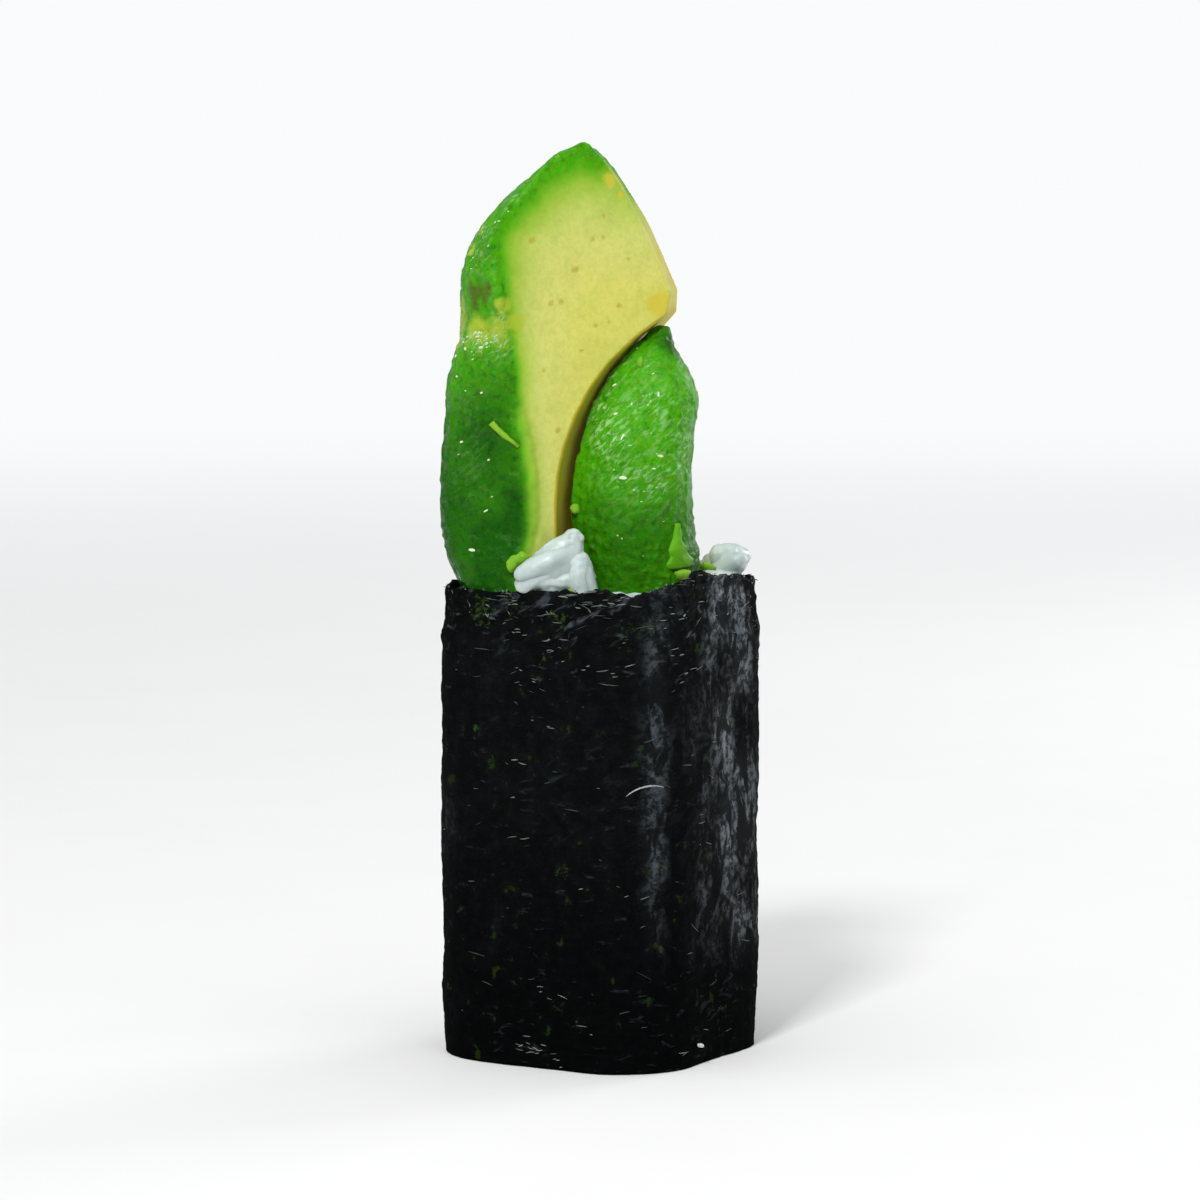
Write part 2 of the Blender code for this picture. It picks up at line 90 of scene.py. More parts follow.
# Float attributes that the materials read
DEPTH = "depth"  # how far under the peeled side, from 0 to 1 at FLESH_DEPTH
HOLLOW = "hollow"  # the pit's hollow, darker brown: partly its own colour, partly painted shade
DARK_MARK = "dark_mark"
BARE = "bare"
GOLD = "gold"
SPECK = "speck"
SHADE = "shade"  # a random tone for each grain or fibre; on the slices, painted shade lower down and under the long slice's chin, with random unevenness
PAINTED_SHEEN = "painted_sheen"  # where grey sheen is painted on the nori
WISPY = "wispy"  # where slanting wisps lie on the nori
THIN = "thin"  # where the nori is thin and green
SHEEN = "sheen"  # where the peeled sides glisten: a coat, and a painted highlight of pale green in the colour
FLESH_DEPTH = 12 * MM

# Marks on the long slice: place across and up the front, and radius, in millimetres
# Dark patches, which darken the peeled side there
DARK_MARKS = ((-12.2, 75.4, 1.5), (-11.2, 76.0, 1.1))
BARE_PATCHES = (
    (-13.9, 72.2, 2.2), (-11.8, 72.0, 1.8), (-9.9, 72.3, 1.6), (-8.4, 73.2, 1.2), (-13.6, 74.2, 1.3),
    (-9.4, 74.6, 0.9), (-12.6, 80.0, 0.6), (-11.6, 82.0, 0.5),
)
GOLD_PATCHES = ((7.0, 77.0, 1.9), (6.2, 79.4, 1.2), (0.9, 86.6, 0.7), (5.6, 74.6, 1.3), (1.9, 85.2, 0.5))
SPECKS = (
    (-0.8, 81.0, 0.32), (0.3, 81.1, 0.3), (-2.5, 78.0, 0.38), (-3.9, 74.9, 0.34), (-4.8, 74.7, 0.32),
    (1.8, 74.4, 0.36), (-0.5, 72.5, 0.24), (0.8, 72.8, 0.24), (-6.7, 80.9, 0.34), (-4.2, 62.3, 0.3),
    (0.3, 83.2, 0.2), (-5.6, 68.2, 0.2), (-1.9, 70.1, 0.22), (2.7, 78.9, 0.2),
)

# Rice that stands over the rim: the middle of each grain in millimetres, and the way that it leans
STANDING_GRAINS = (
    ((-4.2, -10.3, 50.7), (0.8, 0.1, 0.5)),
    ((-4.3, -10.3, 48.9), (0.7, 0.0, 0.6)),
    ((-3.4, -10.3, 47.9), (1.0, 0.1, 0.1)),
    ((-2.9, -10.1, 50.0), (0.1, 0.05, 1.0)),
    ((-5.7, -10.6, 48.5), (0.88, 0.0, 0.45)),
    ((-1.8, -10.6, 48.0), (-0.12, 0.1, 0.95)),
    ((-4.6, -10.3, 47.2), (0.25, 0.0, 1.0)),
    ((12.2, 0.6, 47.9), (0.45, -0.35, 0.35)),
    ((11.4, 4.2, 47.7), (0.3, 0.6, 0.3)),
    ((13.1, 2.6, 49.2), (0.55, 0.8, -0.1)),
)


class NoriLook(bpy.types.PropertyGroup):
    """The sheet of nori."""

    crinkle: FloatProperty(
        name="Crinkle", description="Depth of the crinkles near the rim", unit="LENGTH",
        default=0.16 * MM
    )
    grain: FloatProperty(
        name="Grain", description="Relief of the pressed fibres", default=0.045 * MM, unit="LENGTH"
    )
    rag: FloatProperty(
        name="Ragged rim", description="How far the cut rim wavers", default=0.32 * MM, unit="LENGTH"
    )
    fibres: IntProperty(
        name="Fibres", description="Short pale fibres over the sheet", default=240, min=0
    )
    fringe: IntProperty(name="Fringe", description="Strands torn up along the rim", default=300, min=0)
    colour: FloatVectorProperty(
        name="Colour", description="The sheet's darkest tone", subtype="COLOR",
        default=(0.0026, 0.0031, 0.0032)
    )
    green: FloatVectorProperty(
        name="Green", description="Its thin places", subtype="COLOR", default=(0.012, 0.026, 0.004)
    )
    # The grey mixed in where sheen is painted on the sheet, and, darker, in its strands and wisps
    sheened: FloatVectorProperty(
        name="Sheened", description="Where it is rubbed grey", subtype="COLOR",
        default=(0.095, 0.115, 0.134)
    )
    fibre: FloatVectorProperty(
        name="Fibre", description="The palest fibres", subtype="COLOR", default=(0.42, 0.47, 0.45)
    )


class RiceLook(bpy.types.PropertyGroup):
    """The cooked rice."""

    length: FloatProperty(name="Length", description="A long grain", default=5.8 * MM, unit="LENGTH")
    width: FloatProperty(name="Width", description="A grain's width", default=2.9 * MM, unit="LENGTH")
    apart: FloatProperty(
        name="Apart", description="Least distance between two grains", default=1.9 * MM, unit="LENGTH"
    )
    colour: FloatVectorProperty(
        name="Colour", description="The grains' cool white", subtype="COLOR", default=(0.46, 0.56, 0.54)
    )
    core: FloatVectorProperty(
        name="Core", description="Their more opaque middles", subtype="COLOR", default=(0.62, 0.69, 0.67)
    )


class AvocadoLook(bpy.types.PropertyGroup):
    """The two avocado slices."""

    bumps: FloatProperty(
        name="Bumps", description="Height of the peeled side's bumps", default=0.12 * MM, unit="LENGTH"
    )
    beads: FloatProperty(
        name="Beads", description="How many beads of wet pulp there are, as a share", subtype="FACTOR",
        default=1.0
    )
    knife: FloatProperty(
        name="Knife marks", description="Relief of the cut faces", default=0.035 * MM, unit="LENGTH"
    )
    peel: FloatVectorProperty(
        name="Peeled side", description="The dark green under the skin", subtype="COLOR",
        default=(0.045, 0.360, 0.002)
    )
    green: FloatVectorProperty(
        name="Green", description="The flesh just inside it", subtype="COLOR",
        default=(0.062, 0.385, 0.003)
    )
    lime: FloatVectorProperty(
        name="Lime", description="Where the green fades", subtype="COLOR", default=(0.34, 0.53, 0.045)
    )
    flesh: FloatVectorProperty(
        name="Flesh", description="The pale flesh", subtype="COLOR", default=(0.68, 0.67, 0.200)
    )
    core: FloatVectorProperty(
        name="Core", description="The flesh round the pit", subtype="COLOR", default=(0.68, 0.64, 0.135)
    )
    # The hollow's darker brown is partly its own colour and partly painted shade.
    hollow: FloatVectorProperty(
        name="Hollow", description="The pit's hollow", subtype="COLOR", default=(0.50, 0.40, 0.030)
    )


class StageLook(bpy.types.PropertyGroup):
    """Floor, lights and camera."""

    floor: FloatVectorProperty(
        name="Floor", description="The floor's colour", subtype="COLOR", default=(0.84, 0.84, 0.84)
    )
    distance: FloatProperty(
        name="Camera distance", description="From the roll", default=0.505, unit="LENGTH"
    )
    height: FloatProperty(
        name="Camera height", description="Above the floor", default=0.0942, unit="LENGTH"
    )
    lens: FloatProperty(name="Lens", description="Focal length", default=153.0, unit="CAMERA")
    room: FloatProperty(name="Room", description="How bright the room around is", default=0.27, min=0.0)
    ceiling: FloatProperty(
        name="Ceiling", description="Strength of the light from above", default=1.6, min=0.0
    )
    key: FloatProperty(name="Key light", description="The main softbox", default=4.6, unit="POWER")


def smooth(share):
    """0 to 1 with no slope at either end, for numbers and arrays."""
    share = np.clip(share, 0.0, 1.0)
    return share * share * (3 - 2 * share)


def waves(points, size, seed=0):
    """Smooth random values from -1 to 1 at each point, which change over a distance of size."""
    cells = points / size + 37.7 * seed
    low = np.floor(cells).astype(np.int64)
    share = smooth(cells - low)
    total = np.zeros(len(points))
    for corner in itertools.product((0, 1), repeat=3):
        x, y, z = (low + corner).T
        # The whole numbers at each corner of a cell are scrambled into a random value.
        scrambled = (x * 73856093) ^ (y * 19349663) ^ (z * 83492791)
        scrambled = ((scrambled ^ (scrambled >> 13)) * 1274126177) & 0xFFFFFFFF
        weight = np.prod(np.where(corner, share, 1 - share), axis=1)
        total += weight * ((scrambled ^ (scrambled >> 16)) & 0xFFFF) / 0xFFFF
    return total * 2 - 1


def ridges(points, size, seed=0):
    """Rounded crests with sharp valleys between them, from -1 to 1."""
    return 1 - 2 * np.abs(waves(points, size, seed))


def above(values, start, reach):
    """0 up to start, and 1 from a reach above it. Both are in millimetres."""
    return smooth((values - start * MM) / (reach * MM))


def below(values, start, reach):
    """0 down to start, and 1 from a reach below it. Both are in millimetres."""
    return smooth((start * MM - values) / (reach * MM))


def near(values, middle, width):
    """1 at the middle, fading on both sides of it. Both are in millimetres."""
    return np.exp(-(((values - middle * MM) / (width * MM)) ** 2))


def in_scene(name, data):
    """A new object in the scene."""
    made = bpy.data.objects.new(name, data)
    bpy.context.scene.collection.objects.link(made)
    return made


def new_piece(name, vertices, faces):
    """A smoothly shaded object with a mesh of its own."""
    mesh = bpy.data.meshes.new(name)
    mesh.from_pydata(vertices, [], faces)
    mesh.validate()
    mesh.shade_smooth()
    return in_scene(name, mesh)


def vectors(items, name):
    """A vector that each item of a mesh has, as an array."""
    values = np.empty(len(items) * 3, np.float32)
    items.foreach_get(name, values)
    return values.reshape(-1, 3).astype(np.float64)


def places_of(mesh):
    """Where a mesh's vertices are."""
    return vectors(mesh.vertices, "co")


def normals_of(mesh):
    """The way out of the surface at a mesh's vertices."""
    return vectors(mesh.vertex_normals, "vector")


def move_to(mesh, places):
    """Moves a mesh's vertices to new places."""
    mesh.vertices.foreach_set("co", places.astype(np.float32).ravel())
    mesh.update()


def keep_value(mesh, name, values):
    """Stores a value for each vertex, for a material to read."""
    layer = mesh.attributes.get(name) or mesh.attributes.new(name, "FLOAT", "POINT")
    layer.data.foreach_set("value", np.asarray(values, np.float32))


def solid_tree(node, wanted=None):
    """A search tree of a solid's faces, or of the wanted ones."""
    mesh = NODES[node].data
    faces = [f.vertices[:] for f in mesh.polygons if wanted is None or wanted(f)]
    return BVHTree.FromPolygons([v.co for v in mesh.vertices], faces)


def piece_tree(name):
    """A search tree of a piece's faces."""
    return BVHTree.FromObject(bpy.data.objects[name], bpy.context.evaluated_depsgraph_get())


def level_way(angle):
    """A level way out from the roll's axis, at an angle round it."""
    return Vector((math.cos(angle), math.sin(angle), 0.0))


def from_front(tree, x, height):
    """Where a level line from the front meets a surface, and the way out of it there."""
    return tree.ray_cast(Vector((x, -50 * MM, height)), Vector((0, 1, 0)))[:2]


def from_above(tree, x, y, height=100 * MM):
    """Where a line straight down from a height meets a surface, and the way out of it there."""
    return tree.ray_cast(Vector((x, y, height)), Vector((0, 0, -1)))[:2]


class Shapes:
    """Many small shapes for one mesh, with a shade for each vertex."""

    def __init__(self):
        self.vertices, self.faces, self.shades = [], [], []

    def add(self, points, faces, shade=0.0):
        """Adds a shape. Its faces count from its own first point."""
        first = len(self.vertices)
        self.vertices += points
        self.faces += [tuple(first + i for i in face) for face in faces]
        self.shades += [shade] * len(points)

    def piece(self, name):
        """An object of all the shapes."""
        return new_piece(name, self.vertices, self.faces)


def dressed(piece, material, slot, *nodes):
    """Gives a piece its material and its place in the frame."""
    piece.data.materials.clear()
    piece.data.materials.append(material)
    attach(piece, "root")
    if nodes:
        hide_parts(*nodes)


# --- shader building -------------------------------------------------------------------------------

FLOAT = "NodeSocketFloat"
COLOUR = "NodeSocketColor"


def set_socket(socket, value):
    """Links a socket to another, or stores a plain value in it. A colour may leave out its alpha."""
    if isinstance(value, bpy.types.NodeSocket):
        socket.id_data.links.new(value, socket)
    elif socket.type == "RGBA" and len(value) == 3:
        socket.default_value = (*value, 1.0)
    else:
        socket.default_value = value


def feed(node, **values):
    """Links or sets a node's inputs. Underscores in a name stand for spaces."""
    for name, value in values.items():
        set_socket(node.inputs[name.replace("_", " ")], value)


def add(tree, kind, inputs=None, **settings):
    """A shader node with its settings and inputs."""
    made = tree.nodes.new(kind)
    for name, value in settings.items():
        setattr(made, name, value)
    for name, value in (inputs or {}).items():
        set_socket(made.inputs[name], value)
    return made


def mixed(tree, share, first, second, blend="MIX"):
    """The colour between two, by a share."""
    inputs = {0: share, 6: first, 7: second}
    return add(tree, "ShaderNodeMix", inputs, data_type="RGBA", blend_type=blend).outputs[2]


def tinted(tree, colour, tint):
    """A colour multiplied by another."""
    return mixed(tree, 1.0, colour, tint, "MULTIPLY")


def toned(colour, factor):
    """A plain colour made darker or lighter."""
    return tuple(factor * value for value in colour)


def worked(tree, operation, *values, clamp=False):
    """A sum on two or three values."""
    inputs = dict(enumerate(values))
    return add(tree, "ShaderNodeMath", inputs, operation=operation, use_clamp=clamp).outputs[0]


def times(tree, first, second, plus=None, clamp=False):
    """The product of two values, with a third added to it where one is given."""
    if plus is None:
        return worked(tree, "MULTIPLY", first, second, clamp=clamp)
    return worked(tree, "MULTIPLY_ADD", first, second, plus, clamp=clamp)


def stretched(tree, value, low, high, to_low=0.0, to_high=1.0):
    """A value carried over from one range to another, with its ends held."""
    inputs = {"Value": value, "From Min": low, "From Max": high, "To Min": to_low, "To Max": to_high}
    return add(tree, "ShaderNodeMapRange", inputs, interpolation_type="SMOOTHSTEP").outputs[0]


def stored(tree, name):
    """A value that keep_value stored on the mesh."""
    node = add(tree, "ShaderNodeAttribute", attribute_name=name, attribute_type="GEOMETRY")
    return node.outputs["Fac"]


def here(tree):
    """The place on the object, in metres."""
    return add(tree, "ShaderNodeTexCoord").outputs["Object"]


def noise(tree, place, scale, detail=3.0, roughness=0.55, distortion=0.0):
    """Soft noise, with scale waves to the metre."""
    node = tree.nodes.new("ShaderNodeTexNoise")
    feed(node, Vector=place, Scale=scale, Detail=detail, Roughness=roughness, Distortion=distortion)
    return node.outputs["Fac"]


def new_group(name, inputs, outputs):
    """A shader node group with named sockets: its tree, what it is given, and its output node."""
    tree = bpy.data.node_groups.new(name, "ShaderNodeTree")
    for label, default in inputs.items():
        kind = FLOAT if isinstance(default, float) else COLOUR
        tree.interface.new_socket(label, in_out="INPUT", socket_type=kind).default_value = default
    for label, kind in outputs.items():
        tree.interface.new_socket(label, in_out="OUTPUT", socket_type=kind)
    return tree, tree.nodes.new("NodeGroupInput").outputs, tree.nodes.new("NodeGroupOutput")


def placed(tree, group, **inputs):
    """A group in a material, with its own values."""
    made = add(tree, "ShaderNodeGroup", node_tree=group)
    feed(made, **inputs)
    return made.outputs


def moist_group():
    """Wet food: a fine uneven surface, with wetter and drier places."""
    if found := bpy.data.node_groups.get("Moist Surface"):
        return found
    inputs = {"Pebble Scale": 900.0, "Pebble Height": 1.0, "Wet": 0.25, "Dry": 0.5}
    outputs = {"Height": FLOAT, "Roughness": FLOAT, "Wetness": FLOAT}
    tree, given, result = new_group("Moist Surface", inputs, outputs)
    place, scale = here(tree), given["Pebble Scale"]
    cells = {"Vector": place, "Scale": scale, "Randomness": 1.0}
    pebble = add(tree, "ShaderNodeTexVoronoi", cells, feature="SMOOTH_F1").outputs["Distance"]
    fine = noise(tree, place, times(tree, scale, 2.6), 4.0)
    rise = worked(tree, "ADD", times(tree, pebble, -1.0), times(tree, fine, 0.5))
    wetness = stretched(tree, noise(tree, place, 260.0), 0.35, 0.62)
    drier = {"Value": wetness, "To Min": given["Dry"], "To Max": given["Wet"]}
    roughness = add(tree, "ShaderNodeMapRange", drier).outputs[0]
    feed(result, Height=times(tree, rise, given["Pebble Height"]), Roughness=roughness, Wetness=wetness)
    return tree


def blotch_group():
    """Uneven colour: soft blotches of a second colour, and a fine grain of it."""
    if found := bpy.data.node_groups.get("Blotches"):
        return found
    white, grey = (1.0, 1.0, 1.0, 1.0), (0.5, 0.5, 0.5, 1.0)
    inputs = {"Colour": white, "Blotch": grey, "Scale": 300.0, "Amount": 0.5}
    tree, given, result = new_group("Blotches", inputs, {"Colour": COLOUR})
    place, scale = here(tree), given["Scale"]
    soft = stretched(tree, noise(tree, place, scale, 4.0, 0.6), 0.38, 0.68)
    fine = stretched(tree, noise(tree, place, times(tree, scale, 7.0), 2.0), 0.4, 0.7)
    share = worked(tree, "ADD", times(tree, soft, 0.7), times(tree, fine, 0.3))
    share = times(tree, share, given["Amount"], clamp=True)
    feed(result, Colour=mixed(tree, share, given["Colour"], given["Blotch"]))
    return tree


def blotched(tree, colour, blotch, scale, amount):
    """A colour with blotches of another."""
    group = placed(tree, blotch_group(), Colour=colour, Blotch=blotch, Scale=scale, Amount=amount)
    return group["Colour"]


def strand_group():
    """Fine strands: level where Upright is 0, up and down where it is 1, and turned by Slant."""
    if found := bpy.data.node_groups.get("Strands"):
        return found
    inputs = {"Scale": 400.0, "Upright": 0.0, "Slant": 0.0, "Density": 0.5}
    tree, given, result = new_group("Strands", inputs, {"Mask": FLOAT, "Height": FLOAT})
    turn = add(tree, "ShaderNodeCombineXYZ", {"Y": given["Slant"]}).outputs[0]
    turned = add(tree, "ShaderNodeMapping", {"Vector": here(tree), "Rotation": turn}).outputs[0]
    strands = []
    for stretch, distortion in (((0.55, 0.55, 1.5), 0.5), ((1.25, 1.25, 0.62), 1.0)):
        along = add(tree, "ShaderNodeMapping", {"Vector": turned, "Scale": stretch}).outputs[0]
        strands.append(noise(tree, along, given["Scale"], 5.0, 0.62, distortion))
    shares = {0: given["Upright"], 2: strands[0], 3: strands[1]}
    height = add(tree, "ShaderNodeMix", shares, data_type="FLOAT").outputs[0]
    edge = worked(tree, "SUBTRACT", 0.78, times(tree, given["Density"], 0.35))
    feed(result, Mask=stretched(tree, height, edge, worked(tree, "ADD", edge, 0.14)), Height=height)
    return tree


def new_material(name):
    """A material and its tree and shader."""
    material = bpy.data.materials.new(name)
    material.use_nodes = True
    tree = material.node_tree
    return material, tree, tree.nodes["Principled BSDF"]


def bumped(tree, height, distance):
    """A normal from a height that runs over about 1 at that distance."""
    return add(tree, "ShaderNodeBump", {"Height": height, "Distance": distance}).outputs[0]


def nori_material():
    """Pressed seaweed: nearly black, thin green places, level strands, and painted grey sheen streaks.
    """
    look = bpy.context.scene.maki_nori
    material, tree, shader = new_material("Nori")
    place = here(tree)
    height = add(tree, "ShaderNodeSeparateXYZ", {"Vector": place}).outputs["Z"]
    ground = blotched(tree, look.colour, toned(look.colour, 2.2), 700.0, 0.8)
    # Painted shade: the ground is darker towards the sheet's foot.
    deeper = tinted(tree, ground, (0.45, 0.45, 0.45))
    ground = mixed(tree, stretched(tree, height, 4 * MM, 30 * MM, 1.0, 0.0), ground, deeper)
    flecks = stretched(tree, noise(tree, place, 700.0), 0.64, 0.72)
    ground = mixed(tree, times(tree, flecks, 0.8), ground, look.green)
    torn = worked(tree, "SUBTRACT", noise(tree, place, 2100.0, 4.0, 0.7), 0.58)
    torn = times(tree, torn, 4.0, stored(tree, THIN))
    ground = mixed(tree, stretched(tree, torn, 0.5, 1.3), ground, toned(look.green, 2.1))
    level = placed(tree, strand_group(), Scale=850.0, Density=0.50)
    upright = placed(tree, strand_group(), Scale=400.0, Upright=1.0, Density=0.98)
    wisps = placed(tree, strand_group(), Scale=520.0, Slant=0.6, Density=0.62)
    rim = stretched(tree, height, 34 * MM, 45 * MM, 0.35, 1.0)
    colour = mixed(tree, times(tree, level["Mask"], rim), ground, toned(look.sheened, 0.45))
    wispy = times(tree, wisps["Mask"], stored(tree, WISPY))
    colour = mixed(tree, wispy, colour, toned(look.sheened, 0.8))
    # Painted sheen: grey streaks mixed into the colour down the right corner and in a faint line, with a
    # coat over them.
    broken = stretched(tree, noise(tree, place, 1200.0, 4.0, 0.7), 0.40, 0.60, 0.08, 1.0)
    streaks = times(tree, times(tree, upright["Mask"], broken), 0.93, 0.07)
    sheened = times(tree, streaks, stored(tree, PAINTED_SHEEN), clamp=True)
    relief = worked(tree, "ADD", level["Height"], times(tree, upright["Height"], 0.5))
    gloss = times(tree, level["Mask"], times(tree, rim, 0.12), 0.02)
    feed(
        shader, Base_Color=mixed(tree, sheened, colour, look.sheened),
        Roughness=stretched(tree, level["Height"], 0.3, 0.7, 0.62, 0.40),
        Coat_Weight=times(tree, sheened, 0.7, times(tree, wispy, 0.25, gloss)),
        Normal=bumped(tree, times(tree, wispy, 0.5, relief), 0.35 * MM),
        Specular_IOR_Level=0.0, Coat_Roughness=0.3,
    )
    return material


def fibre_material():
    """Loose fibres, from green-grey to nearly white."""
    look = bpy.context.scene.maki_nori
    material, tree, shader = new_material("Nori fibre")
    dull = (0.035, 0.052, 0.034)
    colour = mixed(tree, stored(tree, SHADE), dull, look.fibre)
    strands = placed(tree, strand_group(), Scale=2500.0, Upright=0.0, Density=0.5)
    feed(
        shader, Base_Color=blotched(tree, colour, dull, 2500.0, 0.5), Roughness=0.38,
        Normal=bumped(tree, strands["Height"], 0.03 * MM),
    )
    return material


def rice_material():
    """Cooked grains: cool, translucent and a little sticky, with a whiter middle."""
    look = bpy.context.scene.maki_rice
    material, tree, shader = new_material("Cooked rice")
    tone = blotched(tree, look.colour, look.core, 480.0, 0.9)
    moist = placed(tree, moist_group(), Pebble_Scale=1400.0, Pebble_Height=0.8, Wet=0.34, Dry=0.52)
    darker = times(tree, stored(tree, SHADE), 0.6)
    feed(
        shader, Base_Color=mixed(tree, darker, tone, toned(look.colour, 0.78)),
        Roughness=moist["Roughness"], Normal=bumped(tree, moist["Height"], 0.05 * MM),
        Coat_Weight=times(tree, moist["Wetness"], 0.22), Coat_Roughness=0.16,
        Subsurface_Weight=0.55, Subsurface_Radius=(1.0, 1.05, 1.0), Subsurface_Scale=1.3 * MM,
    )
    return material


def flesh_ramp(tree, depth):
    """The flesh's colour by how deep under the peeled side it lies."""
    look = bpy.context.scene.maki_avocado
    ramp = add(tree, "ShaderNodeValToRGB", {"Fac": depth})
    ramp.color_ramp.interpolation = "B_SPLINE"
    middle = tuple((a + b) / 2 for a, b in zip(look.lime, look.flesh))
    stops = (
        (0.0, look.peel), (0.03, look.peel), (0.085, look.green), (0.15, look.lime), (0.26, middle),
        (0.46, look.flesh), (1.0, look.core),
    )
    elements = ramp.color_ramp.elements
    while len(elements) < len(stops):
        elements.new(0.5)
    for element, (place, colour) in zip(elements, stops):
        element.position = place
        element.color = (*colour, 1.0)
    return ramp.outputs["Color"]


def avocado_material(name="Avocado"):
    """Avocado flesh, coloured from its peeled side inwards, with its marks, a moist surface and painted
    highlights on the peeled sides.
    """
    look = bpy.context.scene.maki_avocado
    material, tree, shader = new_material(name)
    depth, sheen = stored(tree, DEPTH), stored(tree, SHEEN)
    uneven = worked(tree, "SUBTRACT", noise(tree, here(tree), 420.0, 4.0, 0.6), 0.5)
    colour = flesh_ramp(tree, times(tree, uneven, 0.07, depth))
    outside = stretched(tree, depth, 0.02, 0.12, 1.0, 0.0)
    darker = tinted(tree, colour, (0.74, 0.80, 0.62))
    colour = blotched(tree, colour, darker, 520.0, times(tree, outside, 0.35, 0.4))
    yellower = mixed(tree, 0.7, colour, (0.15, 0.34, 0.004))
    colour = blotched(tree, colour, yellower, 1700.0, times(tree, outside, 0.55, 0.3))
    deeper = tinted(tree, colour, (0.35, 0.52, 0.3))
    pits = stretched(tree, noise(tree, here(tree), 1450.0, 3.0, 0.6), 0.50, 0.68)
    colour = mixed(tree, times(tree, pits, times(tree, outside, 0.6)), colour, deeper)
    fibres = placed(tree, strand_group(), Scale=900.0, Upright=1.0, Density=0.35)
    colour = mixed(tree, times(tree, fibres["Mask"], 0.12), colour, darker)
    # Painted shade: the peeled sides darker lower down and where the long slice's chin shades the short
    # one.
    colour = mixed(tree, stored(tree, SHADE), colour, tinted(tree, colour, (0.12, 0.27, 0.1)))
    marks = (
        (HOLLOW, look.hollow, 1.0), (GOLD, (0.60, 0.50, 0.045), 0.8), (BARE, (0.40, 0.50, 0.035), 0.8),
        (DARK_MARK, (0.070, 0.120, 0.004), 0.85), (SPECK, (0.40, 0.30, 0.03), 0.6),
    )
    for mark, tint, strength in marks:
        ragged = times(tree, uneven, 0.5, stored(tree, mark))
        colour = mixed(tree, times(tree, stretched(tree, ragged, 0.15, 0.75), strength), colour, tint)
    # Painted highlight: pale green crests mixed into the colour where the peeled sides glisten, with a
    # coat over them.
    crests = placed(tree, strand_group(), Scale=1700.0, Slant=0.75, Density=0.85)
    gleam = times(tree, crests["Mask"], sheen, clamp=True)
    moist = placed(tree, moist_group(), Pebble_Scale=1150.0, Pebble_Height=1.0, Wet=0.17, Dry=0.32)
    height = times(tree, moist["Height"], stretched(tree, outside, 0.0, 1.0, 0.12, 1.0))
    feed(
        shader, Base_Color=mixed(tree, times(tree, gleam, 0.8), colour, (0.38, 0.72, 0.25)),
        Roughness=times(tree, outside, -0.25, worked(tree, "ADD", moist["Roughness"], 0.25)),
        Coat_Weight=times(tree, gleam, 0.8, times(tree, sheen, 0.05)), Coat_Roughness=0.18,
        Normal=bumped(tree, times(tree, gleam, 0.3, height), 0.28 * MM), Specular_IOR_Level=0.08,
        Subsurface_Weight=0.15, Subsurface_Radius=(1.0, 1.1, 0.35), Subsurface_Scale=0.8 * MM,
    )
    return material


def bead_material():
    """Wet pulp, glossy, and pale green enough to be partly a painted highlight."""
    material, tree, shader = new_material("Wet pulp")
    moist = placed(tree, moist_group(), Pebble_Scale=3000.0, Pebble_Height=0.3, Wet=0.08, Dry=0.2)
    feed(
        shader, Base_Color=blotched(tree, (0.70, 0.86, 0.58), (0.30, 0.60, 0.10), 500.0, 0.8),
        Roughness=moist["Roughness"], Normal=bumped(tree, moist["Height"], 0.05 * MM),
        Subsurface_Weight=0.3, Subsurface_Scale=0.3 * MM,
    )
    return material


# --- nori ------------------------------------------------------------------------------------------


